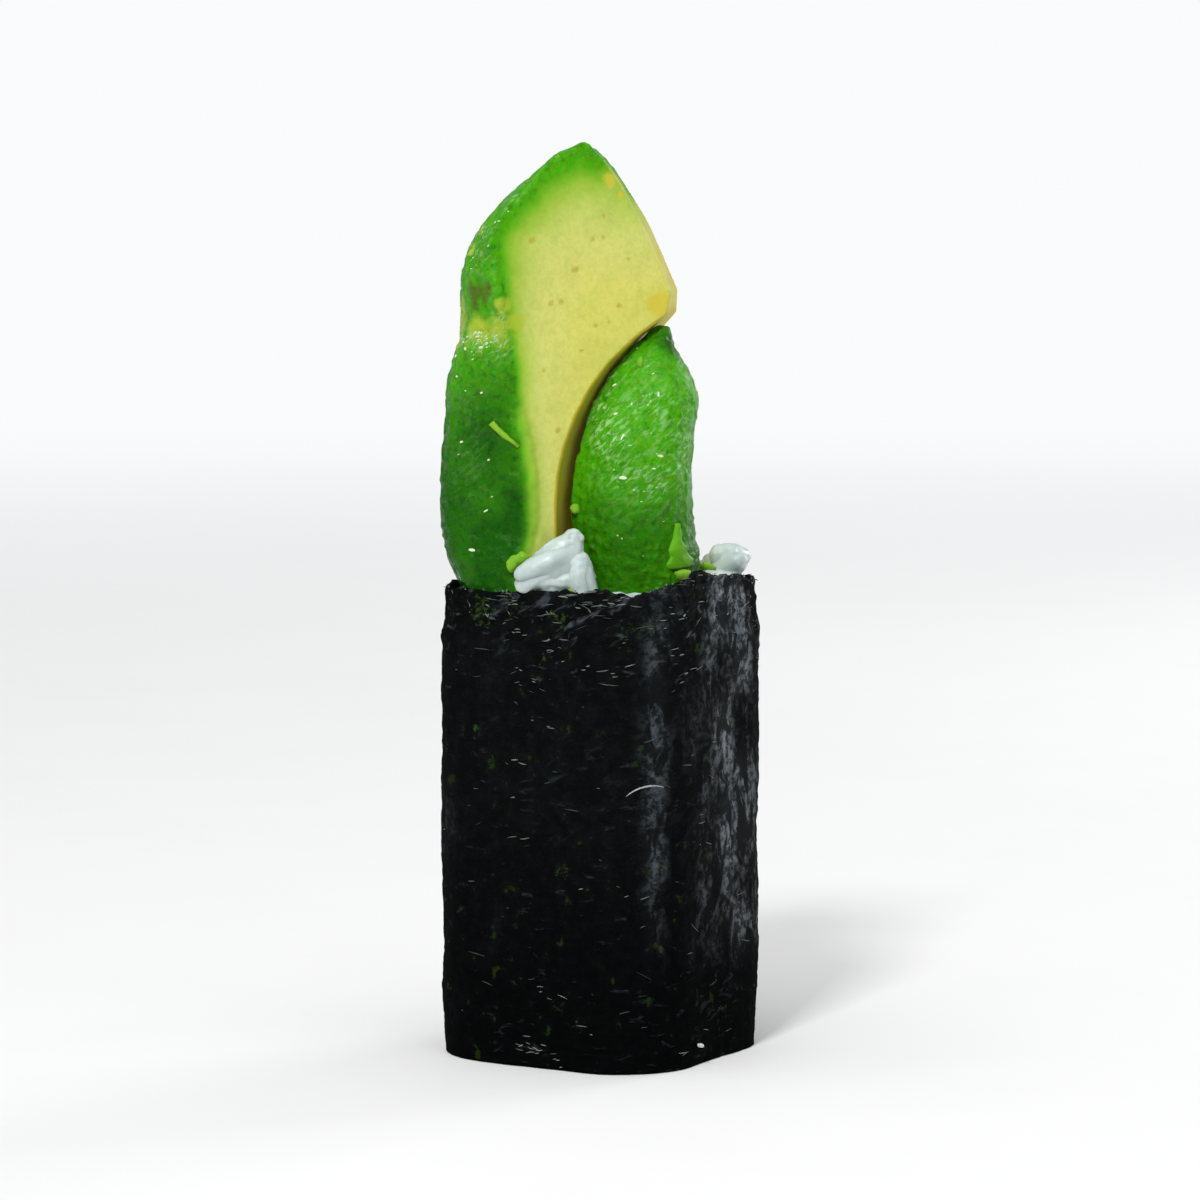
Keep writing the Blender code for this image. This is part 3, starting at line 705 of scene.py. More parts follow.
class Wall:
    """The nori's wall, read off its solid as distances from the roll's axis."""

    EASING = 4  # columns on each side over which the solid's facets are smoothed away

    def __init__(self):
        tree = solid_tree("nori")
        low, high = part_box("nori")
        angles = np.arange(WALL_COLUMNS) * 2 * np.pi / WALL_COLUMNS
        rim = np.array([self.top(tree, a, high[2]) for a in angles])
        self.heights = np.linspace(low[2] + 0.1 * MM, rim.min() - 0.1 * MM, WALL_SAMPLES)
        outer, inner = (
            np.array([[self.reach(tree, a, h, from_outside) for a in angles] for h in self.heights])
            for from_outside in (True, False)
        )
        # The columns start at the free end of the lap, so that smoothing leaves that step sharp.
        seam = int(np.argmax(np.abs(np.roll(outer, -1, axis=1) - outer).mean(axis=0))) + 1
        self.angles, rim, outer, inner = (
            np.roll(values, -seam, axis=-1) for values in (angles, rim, outer, inner)
        )
        self.rim = self.eased(rim[None])[0]
        self.outer, self.inner = self.eased(outer), self.eased(inner)

    @staticmethod
    def reach(tree, angle, height, from_outside):
        """The distance from the axis to the wall's outer or inner face."""
        out, axis = level_way(angle), Vector((0.0, 0.0, height))
        start, way = (axis + out, -out) if from_outside else (axis, out)
        place = tree.ray_cast(start, way)[0]
        return math.hypot(place.x, place.y)

    @classmethod
    def top(cls, tree, angle, highest):
        """The rim's height over the middle of the wall."""
        under_rim = highest - 3 * MM
        middle = (cls.reach(tree, angle, under_rim, True) + cls.reach(tree, angle, under_rim, False)) / 2
        x, y = middle * math.cos(angle), middle * math.sin(angle)
        return from_above(tree, x, y, highest + 1 * MM)[0].z

    @classmethod
    def eased(cls, values):
        """Values with the solid's facets smoothed away, row by row."""
        padded = np.pad(values, ((0, 0), (cls.EASING, cls.EASING)), mode="edge")
        kernel = np.hanning(2 * cls.EASING + 3)[1:-1]
        kernel /= kernel.sum()
        return np.array([np.convolve(row, kernel, mode="valid") for row in padded])

    def inside(self, point):
        """The inner face's distance from the axis, towards a point."""
        angle = math.atan2(point.y, point.x)
        column = int(np.argmin(np.abs(np.angle(np.exp(1j * (self.angles - angle))))))
        row = int(np.argmin(np.abs(self.heights - point.z)))
        return self.inner[row, column]

    def grid(self, radii, shares, top):
        """Points of the wall for shares of the way up each column, as rows by columns by 3."""
        height = FOOT + (top - FOOT) * shares[:, None]
        level = (height - self.heights[0]) / (self.heights[1] - self.heights[0])
        level = np.clip(level, 0, WALL_SAMPLES - 1.001)
        low = level.astype(int)
        column = np.arange(WALL_COLUMNS)[None, :]
        share = level - low
        radius = radii[low, column] * (1 - share) + radii[low + 1, column] * share
        return np.stack([radius * np.cos(self.angles), radius * np.sin(self.angles), height], axis=2)


def joined_rows(first, second, columns, flip=False):
    """Quads between two closed rows of points, given the number that each row starts with."""
    faces = []
    for column in range(columns):
        after = (column + 1) % columns
        quad = (first + column, first + after, second + after, second + column)
        faces.append(quad[::-1] if flip else quad)
    return faces


def ring_faces(rows, columns, start=0, flip=False):
    """Quads of a grid that closes on itself sideways."""
    starts = [start + row * columns for row in range(rows)]
    pairs = zip(starts, starts[1:])
    return [quad for low, high in pairs for quad in joined_rows(low, high, columns, flip)]


def sheet_relief(points, outward, look):
    """The outer face with its crinkles and pressed strands raised on it."""
    flat = points.reshape(-1, 3)
    near_rim = 0.35 + 0.65 * above(flat[:, 2], 34, 10)
    level, upright = flat * (1, 1, 3.2), flat * (1, 1, 0.25)
    raised = look.crinkle * near_rim * waves(level, 3.4 * MM, 1)
    raised += look.grain * (waves(level, 2.2 * MM, 2) + 0.8 * waves(level, 1.0 * MM, 3))
    raised += 0.6 * look.crinkle * near_rim * ridges(level, 1.9 * MM, 7)
    raised += 0.8 * look.grain * ridges(upright, 2.6 * MM, 4)
    raised += 1.1 * look.grain * ridges(flat, 1.3 * MM, 5) * smooth((waves(flat, 7 * MM, 6) + 0.2) * 2)
    return points + outward * raised.reshape(points.shape[:2])[..., None]


class MAKI_OT_nori_sheet(bpy.types.Operator):
    """Makes the sheet of nori with its crinkles, pressed strands and ragged rim"""

    bl_idname = "maki.nori_sheet"
    bl_label = "Nori sheet"

    # Thin green places on the front: across, up and radius in millimetres
    THIN_PLACES = (
        (-11.1, 44.2, 1.6), (-4.7, 44.8, 1.2), (2.6, 43.6, 1.9), (4.7, 43.9, 1.2), (-5.6, 40.2, 0.9),
        (9.6, 41.0, 1.2), (-12.2, 33.0, 0.9), (6.0, 20.4, 1.0), (9.9, 20.8, 1.1), (-4.0, 19.8, 1.1),
        (-2.4, 4.6, 0.9), (12.0, 4.8, 1.1),
    )

    def execute(self, context):
        look = context.scene.maki_nori
        wall = Wall()
        ring = np.stack([np.cos(wall.angles), np.sin(wall.angles), np.zeros(WALL_COLUMNS)], axis=1)
        around = ring * ROLL_RADIUS
        ragged = look.rag * (0.9 * waves(around, 2.6 * MM, 11) + 0.55 * waves(around, 0.8 * MM, 12))
        ragged += 0.45 * look.rag * waves(around, 0.32 * MM, 13)
        top = wall.rim + ragged - 0.2 * look.rag
        # A torn corner of the sheet stands up at the front right.
        top += 0.75 * MM * near(around[:, 0], 10.2, 1.3) * (around[:, 1] < 0)
        inner_top = top + 0.5 * look.rag * waves(around, 0.5 * MM, 14) - 0.05 * MM
        inner_shares = 1 - (1 - np.linspace(0, 1, INSIDE_ROWS)) ** 2
        outer = sheet_relief(wall.grid(wall.outer, np.linspace(0, 1, WALL_ROWS), top), ring[None], look)
        inner = wall.grid(wall.inner, inner_shares, inner_top)
        vertices = np.concatenate([outer.reshape(-1, 3), inner.reshape(-1, 3)])
        start = WALL_ROWS * WALL_COLUMNS
        faces = ring_faces(WALL_ROWS, WALL_COLUMNS) + ring_faces(INSIDE_ROWS, WALL_COLUMNS, start, True)
        faces += joined_rows(0, start, WALL_COLUMNS, True)
        faces += joined_rows(start - WALL_COLUMNS, len(vertices) - WALL_COLUMNS, WALL_COLUMNS)
        piece = new_piece("nori_sheet", vertices.tolist(), faces)
        keep_value(piece.data, PAINTED_SHEEN, self.painted_sheen(vertices))
        keep_value(piece.data, WISPY, self.wispy(vertices))
        thin = spots(vertices, self.THIN_PLACES, solid_tree("nori"))
        thin += 0.62 * above(vertices[:, 2], 40, 4) * smooth(waves(vertices, 2.4 * MM, 25) * 2)
        keep_value(piece.data, THIN, np.clip(thin, 0, 1))
        dressed(piece, nori_material(), "nori", "nori")
        return {"FINISHED"}

    @staticmethod
    def painted_sheen(places):
        """Where grey sheen is painted on the sheet: down its right corner, in a faint line, and at its
        back.
        """
        x, y, height = places.T
        corner = near(x, 12.9, 2.5) * below(y, 7, 8)
        reach = above(height, 7.5, 7) * (0.85 + 0.15 * above(height, 30, 10))
        patches = 0.18 + 1.15 * smooth(0.45 + 0.9 * waves(places * (1, 1, 0.55), 3 * MM, 27))
        patchy = 0.55 + 0.45 * waves(places, 5 * MM, 21)
        front = 0.72 * near(x, 5.2, 1.1) * (y < 0) * above(height, 8, 8)
        elsewhere = 0.16 * smooth(waves(places, 9 * MM, 22) - 0.1)
        back = 0.7 * above(y, 6, 6) * smooth(waves(places * (1, 1, 0.5), 6 * MM, 23))
        return np.clip(corner * reach * patches + front * patchy + elsewhere + back * patchy, 0, 1)

    @staticmethod
    def wispy(places):
        """Where slanting wisps lie on the sheet: under the rim, and most of all at its right."""
        x, _, height = places.T
        under_rim = above(height, 37, 8) * (0.55 + 0.45 * waves(places, 4 * MM, 24))
        right = above(x, 5, 5) * above(height, 36, 6)
        return np.clip(0.8 * under_rim + 0.9 * right + 0.25 * smooth(waves(places, 7 * MM, 26)), 0, 1)


def strand_shape(line, outward, width):
    """Vertices and faces of a thin strand along a line, with three sides and pointed ends."""
    count = len(line)
    vertices = []
    for k, (point, out) in enumerate(zip(line, outward)):
        ahead = (line[min(k + 1, count - 1)] - line[max(k - 1, 0)]).normalized()
        side = ahead.cross(out).normalized()
        size = width / 2 * (0.15 + 0.85 * math.sin(math.pi * (k + 0.35) / (count - 0.3)))
        for turn in range(3):
            angle = math.pi / 2 + turn * 2 * math.pi / 3
            vertices.append(point + side * size * math.cos(angle) + out * size * 0.6 * math.sin(angle))
    last = 3 * (count - 1)
    return vertices, [*ring_faces(count, 3), (2, 1, 0), (last, last + 1, last + 2)]


class MAKI_OT_nori_fibres(bpy.types.Operator):
    """Lays short pale fibres on the sheet and tears strands up along its rim"""

    bl_idname = "maki.nori_fibres"
    bl_label = "Nori fibres"

    # The long pale fibre on the front: across, up and length in millimetres, slope and bend in radians
    STRAY = (4.2, 28.3, 3.9, 0.2, -0.28)
    # Clusters of pale strands on the front, partly real fibres and partly painted glints: across, up in
    # millimetres, and how many
    GLINTS = (
        (-11.6, 42.9, 5), (-5.7, 42.6, 4), (-4.5, 41.1, 4), (-11.6, 39.3, 3), (-8.6, 38.5, 2),
        (1.6, 39.6, 4), (-2.1, 40.0, 2), (-12.6, 45.9, 5), (-0.6, 46.0, 7), (2.2, 46.2, 4),
        (-9.3, 33.7, 1), (-5.4, 33.7, 2), (-11.9, 30.7, 2), (-11.0, 26.1, 1), (-10.9, 22.9, 2),
        (-0.7, 18.2, 1), (2.9, 17.9, 2), (-8.3, 8.0, 2), (-4.4, 7.7, 2), (-1.7, 4.9, 2),
        (-10.2, 2.0, 5), (-8.6, 1.8, 6), (-5.8, 1.7, 4), (9.8, 2.2, 2), (8.0, 41.0, 3), (9.5, 38.5, 3),
        (7.0, 44.5, 3),
    )
    FRONT = -15.3  # the sheet's front, in millimetres from the roll's axis

    def execute(self, context):
        look = context.scene.maki_nori
        tree = piece_tree("nori_sheet")
        draw = random.Random(31)
        fibres, fringe = Shapes(), Shapes()
        for x, height, count in self.GLINTS:
            for _ in range(count):
                angle = math.atan2(self.FRONT, x + draw.gauss(0, 0.9))
                length = draw.uniform(0.3, 1.3) * MM
                up = (height + draw.gauss(0, 0.45)) * MM
                slope, bend = draw.gauss(0.05, 0.16), draw.uniform(-0.1, 0.1)
                if strand := self.on_sheet(tree, angle, up, length, slope, bend):
                    shape = strand_shape(*strand, draw.uniform(0.08, 0.16) * MM)
                    fibres.add(*shape, draw.uniform(0.15, 0.6))
        for _ in range(look.fibres):
            angle = draw.uniform(0, 2 * math.pi)
            height = draw.uniform(37, 46.6) * MM if draw.random() < 0.5 else draw.uniform(1.5, 42) * MM
            slope = math.radians(draw.gauss(0, 16) if draw.random() < 0.75 else draw.uniform(-80, 80))
            length = (0.3 + 1.7 * draw.random() ** 2) * MM
            if strand := self.on_sheet(tree, angle, height, length, slope, draw.gauss(0, 0.06)):
                shape = strand_shape(*strand, draw.uniform(0.04, 0.11) * MM)
                fibres.add(*shape, draw.random() ** 2.5 * (0.55 if strand[0][0].z > 40 * MM else 0.2))
        x, height, length, slope, bend = self.STRAY
        angle = math.atan2(self.FRONT, x)
        strand = self.on_sheet(tree, angle, height * MM, length * MM, slope, bend, 12)
        fibres.add(*strand_shape(*strand, 0.26 * MM), 1.0)
        for _ in range(look.fringe):
            if strand := self.at_rim(tree, draw):
                shape = strand_shape(*strand, draw.uniform(0.06, 0.2) * MM)
                fringe.add(*shape, 0.04 + draw.random() ** 3 * 0.7)
        material = fibre_material()
        for name, shapes in (("nori_fibres", fibres), ("nori_fringe", fringe)):
            piece = shapes.piece(name)
            keep_value(piece.data, SHADE, shapes.shades)
            dressed(piece, material, "nori")
        return {"FINISHED"}

    @staticmethod
    def on_sheet(tree, angle, height, length, slope, bend, count=7):
        """Points of a bent fibre laid on the sheet's outer face, and the way out at each."""
        line, outward = [], []
        for k in range(count):
            share = k / (count - 1) - 0.5
            turn = slope + bend * share * 2
            around = angle + length * share * math.cos(turn) / ROLL_RADIUS
            up = height + length * share * math.sin(turn)
            out = level_way(around)
            place, normal, _, _ = tree.ray_cast(out * 0.1 + Vector((0, 0, up)), -out)
            if place is None or place.dot(out) < 10 * MM:
                return None  # The line passed over the rim.
            line.append(place + normal * 0.02 * MM)
            outward.append(normal)
        return line, outward

    @staticmethod
    def at_rim(tree, draw):
        """Points of a strand that leaves the rim upwards or lies along it."""
        angle = draw.uniform(0, 2 * math.pi)
        out = level_way(angle)
        ahead = Vector((-out.y, out.x, 0.0))
        # The roll is square, so the rim is looked for at several distances from its axis.
        for reach in (14.9, 14.2, 13.5, 12.9, 15.4, 12.3):
            over = out * reach * MM
            place = from_above(tree, over.x, over.y)[0]
            if place is not None and place.z > 44 * MM:
                break
        else:
            return None
        lying = draw.random() < 0.6
        way = ahead * draw.choice((-1, 1)) * (1.0 if lying else 0.4)
        way += out * draw.uniform(-0.1, 0.35) + Vector((0, 0, draw.uniform(0, 0.2) if lying else 0.8))
        length = draw.uniform(0.4, 1.7) * MM * (1.0 if lying else 0.4)
        start = place - Vector((0, 0, 0.12 * MM))
        sag = Vector((0, 0, -0.15)) * length
        line = [start + way.normalized() * length * k / 5 + sag * (k / 5) ** 2 for k in range(6)]
        return line, [out] * 6


# --- rice ------------------------------------------------------------------------------------------


def grain_shape(middle, way, length, width, bend, draw):
    """Vertices and faces of a cooked grain: plump, a little bent, and thinner at one end."""
    sides, rings, flatness = 12, 9, 0.86
    turn = Vector(way).to_track_quat("Z", "Y")
    spin = draw.uniform(0, 2 * math.pi)
    vertices = []
    for ring in range(rings + 1):
        share = ring / rings
        angle = math.pi * share
        size = max(math.sin(angle), 0.0) ** 0.72 * (1 - 0.10 * share)
        along = -math.cos(angle) * length / 2
        drift = bend * (1 - (2 * share - 1) ** 2)
        for side in range(sides):
            round_ = 2 * math.pi * side / sides + spin
            x = width / 2 * size * math.cos(round_) + drift
            y = flatness * width / 2 * size * math.sin(round_)
            vertices.append(Vector(middle) + turn @ Vector((x, y, along)))
    return vertices, ring_faces(rings + 1, sides)


def fused(piece, voxel, rounds, shades):
    """Joins shapes that meet into one soft skin, which keeps the shade of each."""
    finder = KDTree(len(piece.data.vertices))
    for index, vertex in enumerate(piece.data.vertices):
        finder.insert(vertex.co, index)
    finder.balance()
    remeshed(piece, voxel, rounds)
    keep_value(piece.data, SHADE, [shades[finder.find(v.co)[1]] for v in piece.data.vertices])
    return piece


def fine_copy(node, name, voxel, rounds):
    """A finely and evenly meshed copy of a solid, with its sharp edges eased."""
    return remeshed(in_scene(name, NODES[node].data.copy()), voxel, rounds)


def remeshed(piece, voxel, rounds):
    """Gives a closed piece an even mesh of small faces, with its sharp edges eased."""
    mesh = bmesh.new()
    mesh.from_mesh(piece.data)
    bmesh.ops.remove_doubles(mesh, verts=mesh.verts, dist=0.001 * MM)
    bmesh.ops.recalc_face_normals(mesh, faces=mesh.faces)
    mesh.to_mesh(piece.data)
    mesh.free()
    even = piece.modifiers.new("Even mesh", "REMESH")
    even.mode, even.voxel_size, even.adaptivity = "VOXEL", voxel, 0.0
    ease = piece.modifiers.new("Eased edges", "SMOOTH")
    ease.factor, ease.iterations = 0.5, rounds
    graph = bpy.context.evaluated_depsgraph_get()
    piece_mesh = bpy.data.meshes.new_from_object(piece.evaluated_get(graph))
    piece.modifiers.clear()
    piece.data = piece_mesh
    layers = piece_mesh.attributes
    for name in [layer.name for layer in layers if layer.name.startswith("custom")]:
        layers.remove(layers[name])
    piece_mesh.shade_smooth()
    return piece


class MAKI_OT_rice(bpy.types.Operator):
    """Makes the body of rice and lays cooked grains over both of its ends"""

    bl_idname = "maki.rice"
    bl_label = "Rice"

    BODY_VOXEL, GRAIN_VOXEL = 0.42 * MM, 0.17 * MM
    DARTS = 7000  # how many places are tried for grains at each end
    # Heights on the rice's top: between which grains lie, at the front left, and at the front right
    LOWEST, HIGHEST, HIGHEST_FRONT_LEFT, FRONT_RIGHT = 40 * MM, 48.5 * MM, 46.2 * MM, 45.2 * MM
    WELL_SUNK = 46.4 * MM  # above it grains lie deeper in the rice
    STANDING = 46.9 * MM  # above it grains are nearly all of the palest shade, a painted light that keeps them bright

    def execute(self, context):
        look = context.scene.maki_rice
        body = fine_copy("rice", "rice_body", self.BODY_VOXEL, 3)
        places = places_of(body.data)
        # At the front right it stays under the nori's rim.
        sunk = below(places[:, 1], -7.5, 1.5) * above(places[:, 0], -1, 1.5)
        places[:, 2] -= 0.85 * sunk * np.clip(places[:, 2] - 45.3 * MM, 0, None)
        move_to(body.data, places)
        keep_value(body.data, SHADE, 0.55 + 0.3 * waves(places, 3 * MM, 41))
        material = rice_material()
        dressed(body, material, "rice", "rice")

        self.tree = solid_tree("rice")
        self.others = [solid_tree(node) for node in NODES if node != "rice"]
        self.wall = Wall()
        draw = random.Random(43)
        shapes = Shapes()
        for middle, way, length, width, is_cut in self.grains(look, draw):
            bend = draw.uniform(0.0, 0.14) * width
            points, quads = grain_shape(middle, way, length, width, bend, draw)
            if is_cut:
                points = [Vector((p.x, p.y, max(p.z, 0.02 * MM))) for p in points]
            shapes.add(points, quads, draw.random() * (0.2 if middle.z > self.STANDING else 1.0))
        grains = fused(shapes.piece("rice_grains"), self.GRAIN_VOXEL, 1, shapes.shades)
        places, outward = places_of(grains.data), normals_of(grains.data)
        dents = 0.10 * waves(places, 1.7 * MM, 44) + 0.07 * ridges(places, 0.7 * MM, 45)
        dents *= smooth(places[:, 2] / (0.8 * MM))
        move_to(grains.data, places + outward * dents[:, None] * MM)
        dressed(grains, material, "rice")
        return {"FINISHED"}

    def clear(self, middle, way, length, width):
        """Whether a grain lies clear of the slices and the nori."""
        ahead = Vector(way).normalized()
        side = ahead.cross(Vector((0, 0, 1)))
        side = side.normalized() if side.length > 0.1 else Vector((1, 0, 0))
        up = side.cross(ahead)
        for along, across, high in itertools.product(
            (-0.48, -0.25, 0.0, 0.25, 0.48), (-0.5, 0, 0.5), (-0.4, 0.4)
        ):
            size = math.cos(math.pi * along * 0.95) ** 0.6
            point = Vector(middle) + ahead * length * along + (side * across + up * high) * width * size
            point.z = max(point.z, 0.05 * MM)
            if point.z < RIM and point.to_2d().length > self.wall.inside(point) - 0.1 * MM:
                return False
            for tree in self.others:
                place, normal, _, _ = tree.find_nearest(point)
                if (point - place).dot(normal) < 0.05 * MM:
                    return False
        return True

    def grains(self, look, draw):
        """The grains over the top and through the cut end: middle, way, length, width, cut or not."""
        found = [
            (Vector(middle) * MM, way, look.length * 1.02, look.width * 1.04, False)
            for middle, way in STANDING_GRAINS
        ]
        for under in (False, True):
            placed_at = []
            for dart in range(self.DARTS):
                shorter = 1 - 0.5 * dart / self.DARTS
                length, width = look.length * shorter, look.width * (0.45 + 0.55 * shorter)
                x, y = draw.uniform(-15, 15) * MM, draw.uniform(-15, 15) * MM
                way = level_way(draw.uniform(0, math.pi))
                tilt, sink = draw.uniform(-0.3, 0.3), draw.uniform(0.35, 0.75)
                if any(math.hypot(x - a, y - b) < look.apart * shorter for a, b in placed_at):
                    continue
                if under:
                    middle = Vector((x, y, draw.uniform(0.15, 1.0) * MM))
                elif laid := self.on_top(x, y, way, tilt, sink, width, draw):
                    middle, way = laid
                else:
                    continue
                if self.clear(middle, way, length, width):
                    found.append((middle, way, length, width, under))
                    placed_at.append((x, y))
        return found

    def on_top(self, x, y, way, tilt, sink, width, draw):
        """The middle and the way of a grain sunk into the rice's top, or None where none may lie."""
        place, normal = from_above(self.tree, x, y)
        at_front = y < -8 * MM
        highest = self.HIGHEST_FRONT_LEFT if at_front and x < 0 else self.HIGHEST
        if place is None or not self.LOWEST < place.z < highest:
            return None
        if at_front and x > -0.5 * MM:
            place.z, sink = min(place.z, self.FRONT_RIGHT), draw.uniform(0.35, 0.7)
        elif place.z > self.WELL_SUNK:
            sink = draw.uniform(0.55, 0.8)
        way = (way - normal * way.dot(normal) * 0.8 + Vector((0, 0, tilt))).normalized()
        return place + Vector((0, 0, (0.5 - sink) * width)), way


# --- avocado ---------------------------------------------------------------------------------------


def ball(subdivisions):
    """Points and faces of a ball with a radius of 1."""
    made = bmesh.new()
    bmesh.ops.create_icosphere(made, subdivisions=subdivisions, radius=1.0)
    points = [v.co.copy() for v in made.verts]
    faces = [tuple(v.index for v in face.verts) for face in made.faces]
    made.free()
    return points, faces


def distances(places, tree):
    """How far each place is from the tree's faces."""
    return np.array([tree.find_nearest(place)[3] for place in places.tolist()])


def nearness(places, tree, reach):
    """1 on the tree's faces, falling to 0 at a distance of reach."""
    return 1 - smooth(distances(places, tree) / reach)


def spots(places, marks, tree):
    """Ragged round marks on a surface, each round the place where it is seen from the front."""
    total = np.zeros(len(places))
    for number, (x, height, radius) in enumerate(marks):
        middle = from_front(tree, x * MM, height * MM)[0]
        if middle is None:
            middle = tree.find_nearest(Vector((x * MM, 0.0, height * MM)))[0]
        size = radius * MM
        shift = [waves(places, 0.8 * size, 81 + number + axis) for axis in range(3)]
        away = places - np.array(middle) + 0.5 * size * np.stack(shift, axis=1)
        total = np.maximum(total, np.exp(-(away**2).sum(axis=1) / size**2))
    return total


def broad_spots(places, marks):
    """Soft wide areas seen from the front, each with its own strength."""
    total = np.zeros(len(places))
    for x, height, wide, high, strength in marks:
        across, up = (places[:, 0] / MM - x) / wide, (places[:, 2] / MM - height) / high
        total = np.maximum(total, strength * np.exp(-(across**2 + up**2)))
    return total


class MAKI_OT_avocado(bpy.types.Operator):
    """Makes the two avocado slices, with bumps on their peeled sides and colour worked out from them"""

    bl_idname = "maki.avocado"
    bl_label = "Avocado slices"

    # Where the peeled sides glisten, with a coat and a painted highlight: across, up, and radius across
    # and up in millimetres, and how much
    LONG_SHEEN = (
        (-12.2, 81.5, 2.2, 3.2, 0.75), (-13.4, 71.4, 2.5, 1.1, 0.95), (-10.6, 70.8, 2.6, 1.2, 0.95),
        (-9.5, 73.0, 1.2, 1.6, 0.7), (-12.4, 66.0, 2.5, 2.5, 0.14), (-13.0, 60.0, 2.0, 5.0, 0.12),
        (-4.0, 88.0, 3.0, 1.5, 0.2), (-9.0, 85.0, 2.0, 2.0, 0.35), (0.0, 78.0, 40.0, 9.0, 0.08),
    )
    SHORT_SHEEN = (
        (-0.1, 64.5, 1.6, 3.4, 1.0), (0.4, 61.5, 2.0, 2.5, 0.9), (4.2, 64.0, 3.2, 3.8, 0.75),
        (5.8, 58.0, 3.6, 2.6, 0.85), (8.2, 62.5, 1.8, 5.0, 0.6), (2.0, 58.2, 3.0, 2.0, 0.4),
        (5.0, 54.6, 4.0, 1.4, 0.25), (2.0, 67.5, 2.0, 1.6, 0.5),
    )
    # Where wet pulp stands, pale enough to serve partly as painted glints: slice, middle across and up,
    # and spread across and up in millimetres, and how many
    WET_PLACES = (
        (1, 3.0, 62.5, 2.2, 3.4, 12), (1, 6.0, 57.0, 2.2, 3.6, 10), (0, -12.4, 81.0, 0.9, 1.6, 12),
        (0, -12.4, 71.0, 1.2, 0.7, 40), (0, -12.4, 63.0, 1.2, 4.5, 6), (0, -11.0, 54.0, 2.0, 3.0, 3),
        (0, -10.6, 84.0, 0.8, 1.0, 4),
    )
    # The shade that the long slice's chin throws on the short one: across, up and radius
    CHIN_SHADE = ((6.3, 71.3, 2.4), (8.0, 71.6, 2.0))
    # How thick the green is up the slices: heights in millimetres, and shares of FLESH_DEPTH
    GREEN_HEIGHTS, GREEN_SHARES = (45, 60, 74, 78, 82, 88), (0.5, 0.5, 0.75, 1.15, 1.5, 1.9)

    def execute(self, context):
        look = context.scene.maki_avocado
        # Each slice: length, voxel, peeled faces, painted shade lower down (start, reach, most), where
        # it glistens, and seed
        settings = (
            ("long", 0.27 * MM, self.long_skin, (74, 15, 0.92), self.LONG_SHEEN, 51),
            ("short", 0.25 * MM, self.short_skin, (59, 7, 0.6), self.SHORT_SHEEN, 61),
        )
        long_slice, short_slice = (self.slice(look, *values) for values in settings)
        self.mark(long_slice.data)
        material = avocado_material()
        dressed(long_slice, material, "avocado", "avocado_slice_long")
        dressed(short_slice, material, "avocado", "avocado_slice_short")
        self.beads(look)
        return {"FINISHED"}

    @staticmethod
    def relief(look, places, peeled, seed):
        """How far a slice's surface is raised: lumps on the peeled side, knife marks on the cuts."""
        height = places[:, 2]
        lumps = 2.2 * waves(places, 5.0 * MM, seed) + 0.9 * waves(places, 1.8 * MM, seed + 1)
        lumps += ridges(places, 0.9 * MM, seed + 2)
        knife = waves(places * (1, 1, 0.35), 1.3 * MM, seed + 3) + 1.4 * waves(places, 5 * MM, seed + 4)
        raised = look.bumps * peeled * (lumps - 0.4) + look.knife * (1 - peeled) * knife
        raised *= smooth(height / (1.2 * MM))
        return raised + 0.12 * MM * waves(places, 4.5 * MM, seed + 6) * above(height, 48, 6)

    def slice(self, look, length, voxel, is_peeled, darker, wet, seed):
        """One slice, finely meshed, with its relief and the values that its colours come from."""
        node = "avocado_slice_" + length
        piece = fine_copy(node, "avocado_" + length, voxel, 3)
        mesh = piece.data
        places = places_of(mesh)
        x, _, height = places.T
        deep = distances(places, solid_tree(node, is_peeled))
        peeled = 1 - smooth(deep / (0.9 * MM))
        shaped = places + normals_of(mesh) * self.relief(look, places, peeled, seed)[:, None]
        # The outline at the tip, and at the left of the short slice
        shaped[:, 2] += 0.45 * MM * near(x, -1.7, 0.8) * above(height, 87.5, 2.3)
        shaped[:, 2] += 0.5 * MM * near(x, -4.4, 1.5) * above(height, 83, 3.5)
        if length == "short":
            left = below(x, 1.5, 3) * above(height, 46, 4)
            shaped[:, 0] += 0.45 * MM * left * below(height, 66, 6)
        move_to(mesh, shaped)

        # Painted shade: the peeled side is darker lower down, from start over reach, by up to most; the
        # chin's shade is painted too.
        start, reach, most = darker
        low, chin = most * below(height, start, reach), 0.0
        # The green is thicker towards the stem's end.
        thick = np.interp(height, np.array(self.GREEN_HEIGHTS) * MM, self.GREEN_SHARES)
        deep = deep / thick / FLESH_DEPTH
        if length == "long":
            # Low down the green also fades on the outside, next to the cut, and the painted shade is
            # lighter there.
            beside = nearness(places, solid_tree(node, self.cut_face), 1.8 * MM) * below(height, 68, 5)
            deep += 0.13 * beside
            low *= 1 - 0.85 * beside
            hollow = nearness(places, solid_tree(node, self.pit_hollow), 0.45 * MM)
            keep_value(mesh, HOLLOW, hollow * below(height, 76, 4))
        else:
            chin = spots(places, self.CHIN_SHADE, solid_tree(node))
        keep_value(mesh, DEPTH, np.clip(deep, 0, 1))
        shade = low + chin + 0.22 * waves(places, 3.5 * MM, seed + 5)
        keep_value(mesh, SHADE, np.clip(np.maximum(peeled * shade, chin), 0, 1))
        patchy = 0.85 + 0.7 * waves(places, 2.4 * MM, seed + 8)
        keep_value(mesh, SHEEN, np.clip(peeled * patchy * broad_spots(places, wet), 0, 1))
        return piece

